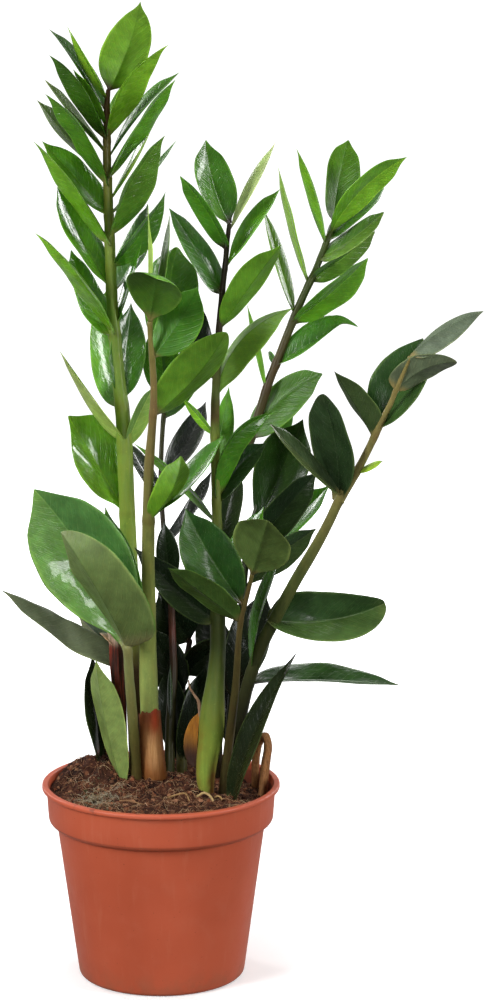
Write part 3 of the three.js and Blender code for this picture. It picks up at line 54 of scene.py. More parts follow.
# Leaf blades by frond: name, root xyz, tip xyz, upper face xyz, width, bend xyz,
# half-fold, skew, fullness, twist, hook xyz, side flag.
LEAVES = {
    "a": [
        ("a00", -37, 73.9, 627.5, -13.2, 59.9, 691.5, -0.196, 0.94, 0.279, 35.6, 2.9, 3.3, -0.4, 12.7, 0.85, 1.14, -4.5, 0, 0, 0, 1),
        ("a01", -37.5, 73.3, 621.4, -66.4, 86.5, 672.9, -0.848, -0.37, -0.38, 20.6, 0.5, -7.3, 0.7, 11.7, 0.98, 1.01, -7, 0, 0, 0, 0),
        ("a02", -37.9, 72.4, 612.3, -79, 83.3, 670.9, 0.787, -0.188, 0.587, 27.6, 1.8, 5.5, 1.3, 11.6, 1.1, 0.95, 10.5, 0, 0, 0, 0),
        ("a04", -37.9, 71.5, 602.6, -61, 59.5, 644.1, 0.779, 0.335, 0.53, 20.5, -0.6, 4.6, -0.3, 12.9, 1.04, 0.84, 10.6, 0, 0, 0, 1),
        ("a03", -38, 70.5, 592.9, -78.2, 66.6, 653.5, -0.713, -0.486, -0.505, 31.8, 5.6, -5.2, 3.8, 21.7, 0.83, 0.96, 21.3, 0, 0, 0, 0),
        ("a05", -38, 69.7, 584.7, -82.1, 79.7, 635.2, 0.747, -0.054, 0.663, 25, -1.3, -0.6, -1, 15.5, 1.14, 0.66, -20.3, 0, 0, 0, 0),
        ("a06", -37.7, 67.9, 566.1, -88.3, 84.7, 620.7, 0.633, -0.345, 0.693, 29.4, -2, 8.5, -1.7, 12.3, 1.07, 0.88, -8.1, 0, 0, 0, 0),
        ("a07", -37.5, 67.4, 560.8, -80.8, 57.6, 626.8, -0.712, -0.454, -0.536, 33.4, 6.5, -10.9, 4.6, 21, 0.8, 0.9, 25.7, 0, 0, 0, 0),
        ("a08", -36.8, 65.4, 539.7, -84.2, 71.3, 592.6, 0.558, -0.606, 0.567, 29.6, -0, 1.7, 0.1, 11, 0.98, 0.9, 5.8, 0, 0, 0, 0),
        ("a09", -36.2, 63.5, 519.1, -89.3, 51.1, 594.3, -0.717, -0.399, -0.572, 33, 3.8, -6, 2.8, 17.1, 0.65, 0.99, 13.5, 0, 0, 0, 0),
        ("a10", -35.2, 60.7, 489, -74.1, 74.1, 559.7, 0.692, -0.537, 0.482, 34.3, -2.2, -1, -0.9, 12.7, 1.16, 0.73, -6.5, 0, 0, 0, 0),
        ("a11", -33.1, 57.6, 455.4, -88.1, 42.6, 530.2, -0.692, -0.414, -0.592, 31.1, 6.5, -20, 6.3, 18, 0.82, 0.94, 15, 0, 0, 0, 0),
        ("a12", -33.1, 57.6, 455.4, -64.3, 70.1, 515, 0.65, -0.601, 0.466, 28.2, -3.7, 1.3, -1.8, 5.6, 0.78, 0.6, 9.6, 0, 0, 0, 0),
        ("a16", -28.1, 53, 402.9, -36.3, 78.9, 490.1, -0.487, -0.849, 0.206, 34.2, -4.5, 14.4, -1.9, 8.5, 0.84, 0.81, 5.1, 0, 0, 0, 0),
        ("a17", -28.5, 53.3, 406.5, -21.5, 66.4, 478, 0.369, -0.92, 0.133, 28.1, 0.2, -1, 0.2, 12, 1.03, 1.13, -0.1, 0, 0, 0, 0),
        ("a14", -26.5, 51, 379, -71.8, 37, 447.6, -0.777, -0.272, -0.568, 28.5, -0.2, -0.6, -0.2, 12, 0.76, 0.97, -16.1, 0, 0, 0, 0),
        ("a13", -24.5, 46.7, 326.9, -66.2, 41.7, 399.4, 0.679, -0.648, 0.345, 55.1, -0.3, 7.7, -2.1, 15.6, 1.5, 0.75, 15.8, 0, 0, 0, 0),
        ("a15", -26.2, 50.5, 373.1, -5.2, 60.5, 418.1, 0.741, -0.639, -0.205, 21.5, -0.9, -1.5, 0.8, 13.6, 1.03, 0.97, -12, 0, 0, 0, 0),
        ("a19", -37.9, 71.7, 604.7, -23.6, 83.7, 634.9, 0.514, 0.684, -0.517, 12.8, -0.2, 1.2, -0.4, 6, 1, 1, 0, 0, 0, 0, 1),
        ("r02", -38, 70.5, 592.9, 7.3, 60.5, 661.5, 0.696, -0.484, -0.53, 37, -9.6, -1.9, 6.1, 26.9, 0.85, 1.3, -21, 0, 0, 0, 0),
        ("r03", -38, 69.2, 579.3, 13.9, 79.2, 640.9, -0.754, -0.091, 0.651, 28.2, -2.3, -0.4, 2, 14.3, 1.3, 1.09, 24, 0, 0, 0, 0),
        ("r04", -37.7, 67.9, 566.1, 11.5, 57.8, 637, 0.75, -0.34, -0.568, 33.7, -3.2, -5.2, 2.4, 16, 0.76, 0.91, -25.1, 0, 0, 0, 0),
        ("r05", -37.2, 66.4, 550.2, -2.6, 82.3, 612.3, -0.858, -0.103, 0.503, 23.6, 2.8, 2.5, -1.7, 12.7, 1.12, 0.97, 15.8, 0, 0, 0, 0),
        ("r06", -36.4, 64, 524.8, 4, 57, 598, 0.701, -0.561, -0.44, 36.9, -4.5, -4.3, 2.5, 25.6, 0.82, 1.06, -21.9, 0, 0, 0, 0),
        ("r07", -36.8, 65.4, 539.7, 11.5, 84.3, 592.3, 0.691, 0.179, -0.7, 22.2, -0.2, 3.3, -0.4, 6, 1, 1, 0, 0, 0, 0, 1),
        ("r08", -35.7, 62, 503.2, 3.8, 70, 557.2, 0.686, -0.599, -0.414, 28.7, 2.6, -0.3, -1.8, 16, 0.9, 1.28, 3.4, 0, 0, 0, 0),
        ("r09", -35.1, 60.3, 484.5, -9.5, 84.2, 547.2, -0.63, -0.604, 0.488, 29.6, 4.2, 18.7, -3.6, 9.3, 0.98, 0.94, -1.6, 0, 0, 0, 0),
        ("r10", -33.4, 57.9, 458.8, -12.8, 48.2, 523.2, -0.928, -0.271, 0.255, 20.5, -0.3, 7.5, -1.2, 6, 1, 1, 0, 0, 0, 0, 0),
        ("c02", -20.3, 39.2, 224.9, -111.9, -8.9, 283.6, -0.598, 0.19, -0.778, 43.9, -0.4, -3.3, 2.4, 24.5, 0.65, 0.87, -2.8, 0, 0, 0, 1),
        ("c07", -19.8, 38.4, 214.5, -60.8, 48.6, 251.3, -0.476, -0.826, -0.303, 22.4, -0.2, 1.8, -0.4, 6, 1, 1, 0, 0, 0, 0, 0),
    ],
    "b": [
        ("b00", -4.4, -57.7, 479.8, -5.2, -52.7, 559.7, 0.993, 0.115, 0.003, 27.2, -0.1, 3.3, -0.4, 6, 1, 1, 0, 0, 0, 0, 1),
        ("b06", -4.4, -56.4, 475.4, 9.2, -44.4, 552.7, 0.952, 0.229, -0.203, 23.8, -0, 0.9, -0.1, 6, 1, 1, 0, 0, 0, 0, 1),
        ("b01", -4.4, -58, 480.8, 2.1, -117, 517.5, 0.304, 0.527, 0.794, 40.7, 2.1, 4.9, 12.7, -13, 1, 1, 0, 0, 0, 0, 1),
        ("b02", -3.2, -50.3, 454.4, 28.3, -64.3, 505.5, 0.382, 0.924, 0.018, 31.8, 2.1, 2.8, -0.5, 11.4, 1.05, 1.06, -4.6, 0, 0, 0, 1),
        ("b03", -3.1, -39, 413.7, 47.1, -45, 472.1, -0.453, 0.759, 0.467, 42.2, 3.6, 2.3, -2.9, 19.6, 1, 0.68, -11, 0, 0, 0, 1),
        ("b04", -7.2, -19.3, 336, 15.9, -38.5, 384.9, -0.204, 0.875, 0.439, 24.8, 5.3, -10.7, 0.9, 34, 1.16, 0.5, -30.5, 0, 0, 0, 1),
        ("b05", -7.2, -19.3, 336, 45.5, -18.2, 396.8, -0.698, -0.373, 0.612, 29.2, 2, 1.4, -2.5, 11.2, 1.1, 1.1, 14.6, 0, 0, 0, 0),
    ],
    "c": [
        ("c00", -22.4, -26, 247.1, -66.4, -56.9, 335.2, 0.41, 0.777, 0.477, 57.9, 1.7, -19.1, 6.7, 26.3, 0.65, 0.65, 19.2, 0, 0, 0, 1),
        ("c01", -22.3, -24.3, 243, -87.2, -17, 357.6, -0.182, -0.983, -0.04, 69.9, 6.5, 7, 1.7, 11.8, 1.35, 0.9, -9.2, 0, 0, 0, 0),
        ("c06", -22.2, -23.1, 240.1, -38.3, -3.6, 342.9, -0.668, -0.743, 0.036, 44.5, 3.8, 5.4, -0.7, 10.4, 0.95, 1.03, -3, 0, 0, 0, 0),
    ],
    "c4": [
        ("c04", -25, 12, 126, -45.9, 2, 230.1, 0.753, 0.623, 0.211, 34.8, -3.1, 2.6, -0.4, 14.5, 1.25, 0.89, 13.8, 0, 0, 0, 1),
    ],
    "c5": [
        ("c05", -44, 34, 126, -50.6, 42, 223.1, 0.85, -0.518, 0.101, 30.8, 0.6, -2.8, 0.3, 7.1, 1.38, 0.99, -33, 0, 0, 0, 0),
    ],
    "d": [
        ("d00", 49.1, -14, 542.7, 33.4, -19, 600.7, 0.331, -0.943, 0.007, 29.9, -2.8, -0.2, -1.3, 28.7, 1.06, 0.7, -42.4, 0, 0, 0, 0),
        ("d01", 47.3, -13.2, 525.9, 15.7, -24.3, 576.6, -0.617, -0.596, -0.514, 21.8, 2.3, -3.4, 1.3, 15.6, 0.83, 0.55, 4.4, 0, 0, 0, 0),
        ("d02", 44.3, -11.9, 494.3, 7.7, -7.9, 553, 0.615, -0.663, 0.428, 23.5, 0.9, -2.4, 0.7, 3.4, 0.77, 0.68, 3.3, 0, 0, 0, 0),
        ("d03", 48.5, -13.7, 537, 81.4, -3.7, 598.7, -0.859, -0.166, 0.485, 21.2, 0.9, -0.8, -0.4, 12.4, 1.12, 1.25, 1.3, 0, 0, 0, 0),
        ("d04", 46.1, -12.6, 512.1, 84.2, -6.6, 566, -0.703, -0.454, 0.548, 23, 0.5, -1.7, -0.1, 20.2, 1.3, 0.89, -1.7, 0, 0, 0, 0),
        ("d05", 42, -10.9, 469.2, 84.7, -22.9, 529.2, -0.498, 0.71, 0.497, 30.5, -0.2, 2.5, 0.6, 13.5, 1.08, 0.86, 2.4, 0, 0, 0, 1),
        ("d07", 39.3, -8.8, 417.1, 93.8, -22.8, 485.7, 0.712, 0.533, -0.457, 32.4, -9.9, 4, 8.7, 24.4, 1.22, 1.07, -29.7, 0, 0, 0, 1),
        ("d08", 40.1, -9.4, 432.5, 28.8, 0.6, 488.1, 0.563, -0.786, 0.255, 20.7, -5.8, -2.6, -0.7, 11.1, 1.02, 0.94, -0.5, 0, 0, 0, 0),
        ("d13", 39.1, -8, 393.7, 15.9, 8, 417.9, -0.754, -0.55, -0.36, 12.6, -0.2, -0.8, 0.4, 6, 1, 1, 0, 0, 0, 0, 0),
        ("d14", 40.5, -5.9, 329.8, -18.9, 12.6, 385, -0.673, -0.479, -0.564, 20, 2.6, 3.7, 2.3, 6, 1, 1, 0, 0, 0, 0, 0),
        ("d09", 39.5, -6.9, 362.1, 48.9, 6.1, 426.7, 0.698, 0.675, -0.238, 20, -0, 5.5, -1, 6, 1, 1, 0, 0, 0, 0, 1),
        ("d15", 39.9, -6.5, 348, 80.9, -15.7, 411.9, 0.608, -0.631, -0.482, 27.6, -12.7, -4, 8.7, 31, 0.76, 0.85, -54.7, 0, 0, 0, 0),
        ("d16", 40.1, -6.4, 344.3, 75.6, 2.6, 386.8, -0.359, -0.806, 0.47, 21.4, -3.3, 0.1, 2.8, 12.8, 1.05, 0.81, 1.3, 0, 0, 0, 0),
        ("d10", 41.1, -5.2, 304.4, 56.6, 8.8, 367.8, 0.466, -0.881, 0.081, 21.2, -2.1, -2.8, 1.1, 12, 1.06, 0.8, -1.3, 0, 0, 0, 0),
        ("d11", 41.1, -5.1, 299.7, 73.4, -9.1, 344, -0.607, -0.698, 0.38, 22.5, 3.5, -2.7, -2.8, 13.7, 1.12, 1.31, 2.2, 0, 0, 0, 0),
        ("d12", 41, -4, 259, -18.5, 8.8, 310.8, 0.316, -0.771, 0.553, 28, -1.9, 4.4, -2.9, 9.9, 0.71, 0.91, 5.9, 0, 0, 0, 0),
    ],
    "e": [
        ("e00", 124.3, 92, 533.4, 134.2, 84.9, 592.2, 0.529, 0.849, 0.014, 31.1, -0.9, 5.2, 0.3, 18.8, 0.88, 0.67, 21.1, 0, 0, 0, 1),
        ("e01", 118.2, 89.9, 516.3, 96.6, 81.9, 586.8, -0.885, -0.348, -0.31, 22.3, 3.4, -1.2, 0.9, 14.2, 0.94, 1.05, 9.6, 0, 0, 0, 0),
        ("e02", 106, 86.3, 487.7, 83.9, 92.3, 572.3, -0.942, -0.246, -0.229, 24.5, -0, -1, 0.1, 6, 1, 1, 0, 0, 0, 0, 0),
        ("e03", 96.3, 83.7, 465.8, 73.1, 93.7, 543.4, 0.915, -0.261, 0.307, 22.8, -0, -1.2, 0.1, 6, 1, 1, 0, 0, 0, 0, 0),
        ("e04", 121.3, 90.8, 524.1, 176.1, 83.6, 580.2, 0.398, -0.776, -0.489, 25.2, -4.9, -5.5, 4.8, 10.4, 1.11, 0.85, -7.2, 0, 0, 0, 0),
        ("e05", 119.7, 90.3, 520.1, 160.5, 99.4, 556.5, -0.426, -0.642, 0.637, 19.9, -0.9, 0.1, 1.3, 6.7, 0.97, 0.5, 9.6, 0, 0, 0, 0),
        ("e06", 114.5, 88.7, 507, 159.7, 78.7, 541.3, -0.58, -0.544, 0.607, 21.7, 1, -2.1, -1.9, 4.1, 0.8, 0.5, 12.4, 0, 0, 0, 0),
        ("e07", 107.9, 86.8, 491.6, 154, 92.8, 526.1, 0.473, -0.721, -0.507, 20.3, 0.9, -2, -0.8, 20.6, 0.93, 0.5, 25.1, 0, 0, 0, 0),
        ("e08", 94.2, 83, 460.7, 148.4, 75, 508.7, 0.424, -0.685, -0.593, 30.9, 0.9, -2.4, -1.4, 12.9, 1.08, 0.63, 3.7, 0, 0, 0, 0),
        ("e09", 82.2, 79.4, 430.4, 136, 83.4, 464.5, -0.426, -0.529, 0.734, 29.3, 0.3, -2.1, -0.2, 32.3, 1.25, 0.65, -26, 6, 0, -7, 0),
        ("e10", 64.4, 73.1, 377.8, 115.9, 63.1, 426.5, 0.517, 0.761, -0.391, 31.7, -3.6, 3.8, 4.5, 10.2, 0.93, 0.66, 3.6, 0, 0, 0, 1),
        ("e11", 75.4, 77.2, 412, 61.6, 83.2, 474.4, 0.928, 0.329, 0.174, 15.4, -0, 1, -0.1, 2, 1, 1, 0, 0, 0, 0, 1),
        ("e13", 82.9, 79.6, 432.2, 76.9, 89.6, 438.4, -0.873, -0.481, -0.077, 8, -0.2, -0.3, 0.3, 6, 1, 1, 0, 0, 0, 0, 0),
    ],
    "h": [
        ("h01", 63, 93.8, 298.6, 102.4, 83.9, 390.1, -0.607, -0.775, 0.177, 44.7, 0.9, 4.1, -2.4, 9.4, 1.5, 1, 45.3, 0, 0, 0, 0),
        ("h02", 61.3, 90.8, 288, 111.9, 80.2, 350.8, 0.32, -0.857, -0.403, 31.2, -0.6, -13.1, 1.9, 6.1, 1, 0.57, -3.4, 0, 0, 0, 0),
        ("h03", 60.5, 88.8, 280.9, 122.1, 105.9, 336.2, -0.514, -0.471, 0.717, 31.1, 1, 4.8, -1.7, 10.7, 1.16, 0.7, 22.2, 0, 0, 0, 0),
        ("h04", 58.7, 83.8, 262.7, 113, 86.5, 308.6, 0.353, -0.861, -0.367, 26.3, -1.9, -4, 2.7, 12.2, 1.32, 1.07, -8.6, 0, 0, 0, 0),
        ("h05", 80.1, 112, 362.1, 94.7, 108, 397.1, 0.539, -0.782, -0.314, 16, -0.2, -1.4, -0.1, 6, 1, 1, 0, 0, 0, 0, 0),
        ("h06", 48.9, 55, 151.9, 43.2, 89.3, 232.7, -0.616, -0.74, 0.27, 31.7, -0.1, 7.3, -1.7, 6, 1, 1, 0, 0, 0, 0, 0),
        ("h07", 50.9, 62.8, 183.9, 59.5, 66.3, 256.1, 0.314, -0.95, 0.008, 23.3, -0, -14.1, 3.1, 6, 1, 1, 0, 0, 0, 0, 0),
        ("h08", 48.6, 51.9, 138.3, 52.8, 73, 182.1, -0.641, -0.665, 0.383, 12.7, 0, 3.3, -0.6, 6, 1, 1, 0, 0, 0, 0, 0),
        ("h09", 51.7, 64.5, 190.5, 75.7, 93.2, 260.6, 0.205, -0.928, 0.31, 29.9, 0.1, -5.8, 1.7, 6, 1, 1, 0, 0, 0, 0, 0),
        ("h10", 51.7, 64.5, 190.5, 27.6, 102.2, 246.4, -0.269, -0.848, 0.457, 28.4, -0.2, -1.9, 1.1, 6, 1, 1, 0, 0, 0, 0, 0),
    ],
    "f": [
        ("f00", 170.1, -96, 462.5, 218.3, -106, 494.8, 0.531, 0.587, -0.611, 22.3, -1.3, 2.5, 2.7, 25.7, 0.77, 1.05, 20, 0, 0, 0, 1),
        ("f01", 161.4, -86.5, 438.7, 200.7, -108.5, 461, 0.04, 0.746, 0.665, 25.5, -1.3, 2.4, 4.7, 12.7, 0.65, 0.65, -12.2, 0, 0, 0, 1),
        ("f02", 149.1, -74.3, 407.5, 180.7, -60.3, 470.2, -0.383, -0.841, 0.381, 41.5, 0.8, -3.3, 0.3, 22.5, 1.04, 1.06, 33.7, 0, 0, 0, 0),
        ("f04", 147.6, -73, 403.9, 119.7, -87, 451.7, 0.531, 0.678, 0.509, 27.3, 0.1, 1.8, 0.6, 28.6, 0.65, 1.08, 19.5, 0, 0, 0, 1),
        ("f05", 124.6, -55.4, 356.6, 112.4, -61.4, 432.1, -0.728, -0.664, -0.17, 41.3, 3.6, -2.5, 0.4, 10.2, 1.42, 0.5, -8.9, 0, 0, 0, 0),
        ("f06", 126.6, -56.8, 360.5, 76.9, -76.8, 413.9, 0.75, -0.331, 0.573, 23.2, -0.6, -1.8, -1.2, 13.2, 1.11, 0.62, -4.4, 0, 0, 0, 0),
        ("f07", 136, -63.2, 378, 153.5, -77.2, 388.5, 0.678, 0.375, -0.632, 7.4, 0.5, 0.6, 0.1, 6, 1, 1, 0, 0, 0, 0, 1),
        ("f08", 75.6, -20.1, 265.2, 158.6, -16.1, 275.8, -0.013, -0.899, 0.438, 44.9, 1, -5.5, -5.5, 34, 0.78, 0.5, 63.5, 0, 0, 0, 0),
        ("f09", 62.5, -8.5, 216, 172.2, -22.2, 217.2, -0.054, -0.344, 0.937, 28.9, -0.1, 4.9, 1.6, 29, 0.71, 1.17, 19.2, 0, 0, 0, 0),
        ("f11", 65, -11.3, 225.2, 84.5, -29.3, 311, -0.949, -0.275, 0.158, 23.5, -4.2, -1.2, 0.7, 14.8, 0.96, 0.79, 13, 0, 0, 0, 0),
    ],
    "f10": [
        ("f10", 48, -9, 118, 98, -27, 245.2, -0.838, -0.48, 0.261, 27.6, -6.2, -8.3, 3.3, 13.9, 0.9, 1.08, -7.4, 0, 0, 0, 0),
    ],
    "g": [
        ("g00", 64.8, -61.7, 306.2, 75.4, -115.7, 354.9, 0.411, 0.653, 0.636, 42.6, 0.7, 2, 2.1, 6, 1, 1, 0, 0, 0, 0, 1),
        ("g01", 57.1, -45, 268.8, 7.3, -67.9, 312.3, 0.194, 0.759, 0.622, 27.7, -0.5, 0.2, 1.1, 13.7, 0.94, 0.83, 6.8, 0, 0, 0, 1),
        ("g02", 59.6, -50.6, 281.6, 18.7, -45.6, 349.8, -0.125, -0.992, -0.002, 40.5, -1.6, -1.2, -1.3, 15.4, 1.06, 1.07, 9.1, 0, 0, 0, 0),
    ],
    "i": [
        ("i01", 6.4, 126, 438.2, 10.5, 120, 511.4, 0.468, -0.878, -0.098, 45.2, -4.2, -3.3, -0, 10.1, 1.04, 0.5, -7.5, 0, 0, 0, 0),
        ("i02", 1.6, 114.3, 399.2, -3.2, 100.3, 458.9, -0.12, -0.964, -0.236, 28.3, 0.2, -2.9, -0.7, 6, 1, 1, 0, 0, 0, 0, 0),
        ("i03", -1.5, 98.4, 345.4, 31.6, 106.4, 399.6, -0.396, -0.843, 0.365, 21.8, 3, -3.1, -1.4, 11.5, 1.08, 1.03, -0.1, 0, 0, 0, 0),
        ("i04", -1, 93.6, 329, -27, 99.6, 371.8, 0.653, -0.586, 0.48, 17.2, 0.1, -1.7, 0.3, 6, 1, 1, 0, 0, 0, 0, 0),
        ("i05", 1.9, 84.2, 296.4, 35.3, 90.2, 349.7, -0.668, -0.567, 0.482, 16.9, 3.6, 3.5, -3.2, 28.6, 0.78, 0.57, 45.1, 0, 0, 0, 0),
        ("i06", 5.3, 75.6, 266.1, 1.4, 66, 318, 0.446, -0.885, -0.132, 19.1, 0.2, -5.4, 0.2, 6, 1, 1, 0, 0, 0, 0, 0),
        ("i07", 0.2, 110.1, 385, 30.8, 120.1, 433.9, -0.464, -0.765, 0.447, 23.4, 0.1, -2.4, 0.4, 6, 1, 1, 0, 0, 0, 0, 0),
        ("i08", 5.7, 50.6, 172.2, 6.1, 41, 217.4, -0.911, -0.405, -0.078, 9.2, 0.1, -6.2, 1.2, 6, 1, 1, 0, 0, 0, 0, 0),
    ],
    "j": [
        ("j01", 19.2, 93.1, 220.9, -3.5, 75, 263.1, 0.438, -0.887, -0.145, 35.9, 0.8, -3.9, -0.2, 6, 1, 1, 0, 0, 0, 0, 0),
        ("j02", 14.5, 79.9, 197.5, 50.7, 65.9, 229.2, -0.275, -0.955, -0.108, 25.1, -2.1, -2, 1.6, 15.1, 1.16, 1.12, 0.4, 0, 0, 0, 0),
        ("j03", 13.2, 73.1, 185.1, -9.4, 71.7, 238.4, -0.04, -0.998, -0.042, 31.3, 0.2, 2.6, -1.3, 6, 1, 1, 0, 0, 0, 0, 0),
        ("j04", 13, 70.1, 179.7, 31.6, 68.1, 206.1, -0.612, -0.694, 0.379, 8.4, -0.2, -1.3, 0, 6, 1, 1, 0, 0, 0, 0, 0),
        ("j05", 13.9, 49.2, 138.6, 3, 69.3, 210.3, -0.431, -0.884, 0.181, 27.1, -0.1, 4.1, -1, 6, 1, 1, 0, 0, 0, 0, 0),
        ("j06", 13.9, 49.2, 138.6, 31.7, 63.6, 211.8, 0.524, -0.851, 0.04, 26.1, 0, -5.1, 1.1, 6, 1, 1, 0, 0, 0, 0, 0),
    ],
}
STUB = [(-27.4, 20.5, 116.7, 3.04), (-27.6, 20.5, 136.2, 3.04), (-28.2, 18.5, 166.6, 3.24), (-29.6, 15.5, 193.5, 3.81), (-31, 13.5, 212.5, 4.37), (-31.8, 12, 231.3, 4.79), (-32, 11.5, 249, 4.78)]
ROOT = [(71.7, 12, 114.7, 2.96), (72.8, 13, 128.6, 2.96), (74.9, 14, 149.3, 3.02), (76.7, 16, 162.1, 3.1), (74.9, 21, 168.2, 3.03), (70.7, 27, 163.6, 2.97), (68.2, 31, 150.4, 2.9), (67.4, 32, 132.9, 2.91), (67.1, 32, 119.3, 2.91)]
OUTLINE = [0.07, 0.0848, 0.1514, 0.2774, 0.3911, 0.5074, 0.6, 0.6683, 0.7301, 0.7847, 0.8317, 0.8703, 0.9, 0.9248, 0.9481, 0.9688, 0.9852, 0.9961, 1.0, 0.9981, 0.993, 0.985, 0.9748, 0.963, 0.95, 0.932, 0.9058, 0.873, 0.835, 0.7935, 0.75, 0.7003, 0.6412, 0.5756, 0.5062, 0.4359, 0.363, 0.2848, 0.2, 0.105, 0.0]

# ---------------------------------------------------------------- small helpers
def srgb(r, g, b):
    def f(v):
        v = v / 255.0
        return v / 12.92 if v <= 0.04045 else ((v + 0.055) / 1.055) ** 2.4
    return np.array([f(r), f(g), f(b)])

def nrm(v):
    return v / max(1e-12, np.linalg.norm(v))

def smooth(a, b, x):
    t = np.clip((x - a) / (b - a), 0, 1)
    return t * t * (3 - 2 * t)

def catmull(P, n):
    P = np.asarray(P, float)
    out = []
    for i in range(len(P) - 1):
        p0, p1, p2, p3 = P[max(i - 1, 0)], P[i], P[i + 1], P[min(i + 2, len(P) - 1)]
        for k in range(n):
            t = k / n
            out.append(0.5 * (2 * p1 + (p2 - p0) * t + (2 * p0 - 5 * p1 + 4 * p2 - p3) * t * t + (3 * p1 - p0 - 3 * p2 + p3) * t ** 3))
    out.append(P[-1])
    return np.array(out)

_OT = np.linspace(0, 1, 161)
def _smooth_outline():
    f = np.interp(_OT, np.linspace(0, 1, len(OUTLINE)), OUTLINE)
    g = f.copy()
    for _ in range(3):
        g[1:-1] = 0.25 * g[:-2] + 0.5 * g[1:-1] + 0.25 * g[2:]
    return g
_OF = _smooth_outline()
def outline(t):
    return np.interp(np.clip(t, 0, 1), _OT, _OF)

def add_mesh(name, verts, faces, mats, mat_idx=None, uv=None, colours=None, smooth_shade=True, slot=None, floats=None):
    me = bpy.data.meshes.new(name)
    me.from_pydata([tuple(v) for v in verts], [], [tuple(f) for f in faces])
    for m in mats:
        me.materials.append(m)
    if mat_idx is not None:
        me.polygons.foreach_set("material_index", np.asarray(mat_idx, dtype=np.int32))
    me.polygons.foreach_set("use_smooth", [smooth_shade] * len(me.polygons))
    li = np.empty(len(me.loops), dtype=np.int32)
    me.loops.foreach_get("vertex_index", li)
    if uv is not None:
        layer = me.uv_layers.new(name="leaf")
        layer.data.foreach_set("uv", np.asarray(uv, dtype=np.float32)[li].ravel())
    if colours is not None:
        ca = me.color_attributes.new(name="tone", type="FLOAT_COLOR", domain="POINT")
        c = np.ones((len(verts), 4), dtype=np.float32)
        c[:, :3] = colours
        ca.data.foreach_set("color", c.ravel())
    for k, v in (floats or {}).items():
        at = me.attributes.new(name=k, type="FLOAT", domain="POINT")
        at.data.foreach_set("value", np.asarray(v, dtype=np.float32))
    me.validate()
    me.update()
    ob = bpy.data.objects.new(name, me)
    bpy.context.scene.collection.objects.link(ob)
    return ob

def ride(ob):
    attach(ob, "root")
    return ob

# ---------------------------------------------------------------- node helpers
class Nodes:
    def __init__(self, name):
        self.m = bpy.data.materials.new(name)
        self.m.use_nodes = True
        self.t = self.m.node_tree
        self.t.nodes.clear()
        self.out = self.t.nodes.new("ShaderNodeOutputMaterial")
        self.bsdf = self.t.nodes.new("ShaderNodeBsdfPrincipled")
        self.t.links.new(self.bsdf.outputs[0], self.out.inputs[0])

    def new(self, kind, **kw):
        n = self.t.nodes.new(kind)
        for k, v in kw.items():
            setattr(n, k, v)
        return n

    def link(self, a, b):
        self.t.links.new(a, b)

    def put(self, sock, v):
        if hasattr(v, "links") or isinstance(v, bpy.types.NodeSocket):
            self.link(v, sock)
        elif isinstance(v, (tuple, list, np.ndarray)):
            v = list(v)
            if len(sock.default_value) == 4 and len(v) == 3:
                v = v + [1.0]
            sock.default_value = v
        else:
            sock.default_value = v

    def math(self, op, a, b=0.0, c=None, clamp=False):
        n = self.new("ShaderNodeMath", operation=op, use_clamp=clamp)
        self.put(n.inputs[0], a)
        self.put(n.inputs[1], b)
        if c is not None:
            self.put(n.inputs[2], c)
        return n.outputs[0]

    def mix(self, fac, a, b, mode="MIX"):
        n = self.new("ShaderNodeMix", data_type="RGBA", blend_type=mode, clamp_factor=True)
        self.put(n.inputs[0], fac)
        self.put(n.inputs[6], a)
        self.put(n.inputs[7], b)
        return n.outputs[2]

    def rng(self, v, a, b, c=0.0, d=1.0, smoothstep=True):
        n = self.new("ShaderNodeMapRange", interpolation_type="SMOOTHSTEP" if smoothstep else "LINEAR")
        self.put(n.inputs[0], v)
        for i, x in enumerate((a, b, c, d)):
            n.inputs[1 + i].default_value = x
        return n.outputs[0]

    def noise(self, vec, scale, detail=3.0, rough=0.55, dist=0.0, col=False):
        n = self.new("ShaderNodeTexNoise")
        if vec is not None:
            self.link(vec, n.inputs["Vector"])
        n.inputs["Scale"].default_value = scale
        n.inputs["Detail"].default_value = detail
        n.inputs["Roughness"].default_value = rough
        n.inputs["Distortion"].default_value = dist
        return n.outputs[1] if col else n.outputs[0]

    def voronoi(self, vec, scale, feature="F1", rand=1.0):
        n = self.new("ShaderNodeTexVoronoi", feature=feature)
        if vec is not None:
            self.link(vec, n.inputs["Vector"])
        n.inputs["Scale"].default_value = scale
        n.inputs["Randomness"].default_value = rand
        return n.outputs[0]

    def obj(self):
        return self.new("ShaderNodeTexCoord").outputs["Object"]

    def scaled(self, vec, s):
        n = self.new("ShaderNodeMapping")
        self.link(vec, n.inputs[0])
        n.inputs["Scale"].default_value = s
        return n.outputs[0]

    def attr(self, name):
        n = self.new("ShaderNodeAttribute", attribute_name=name)
        return n

    def bump(self, h, strength, dist, normal=None):
        n = self.new("ShaderNodeBump")
        self.put(n.inputs["Strength"], strength)
        self.put(n.inputs["Distance"], dist)
        self.link(h, n.inputs["Height"])
        if normal is not None:
            self.link(normal, n.inputs["Normal"])
        return n.outputs[0]

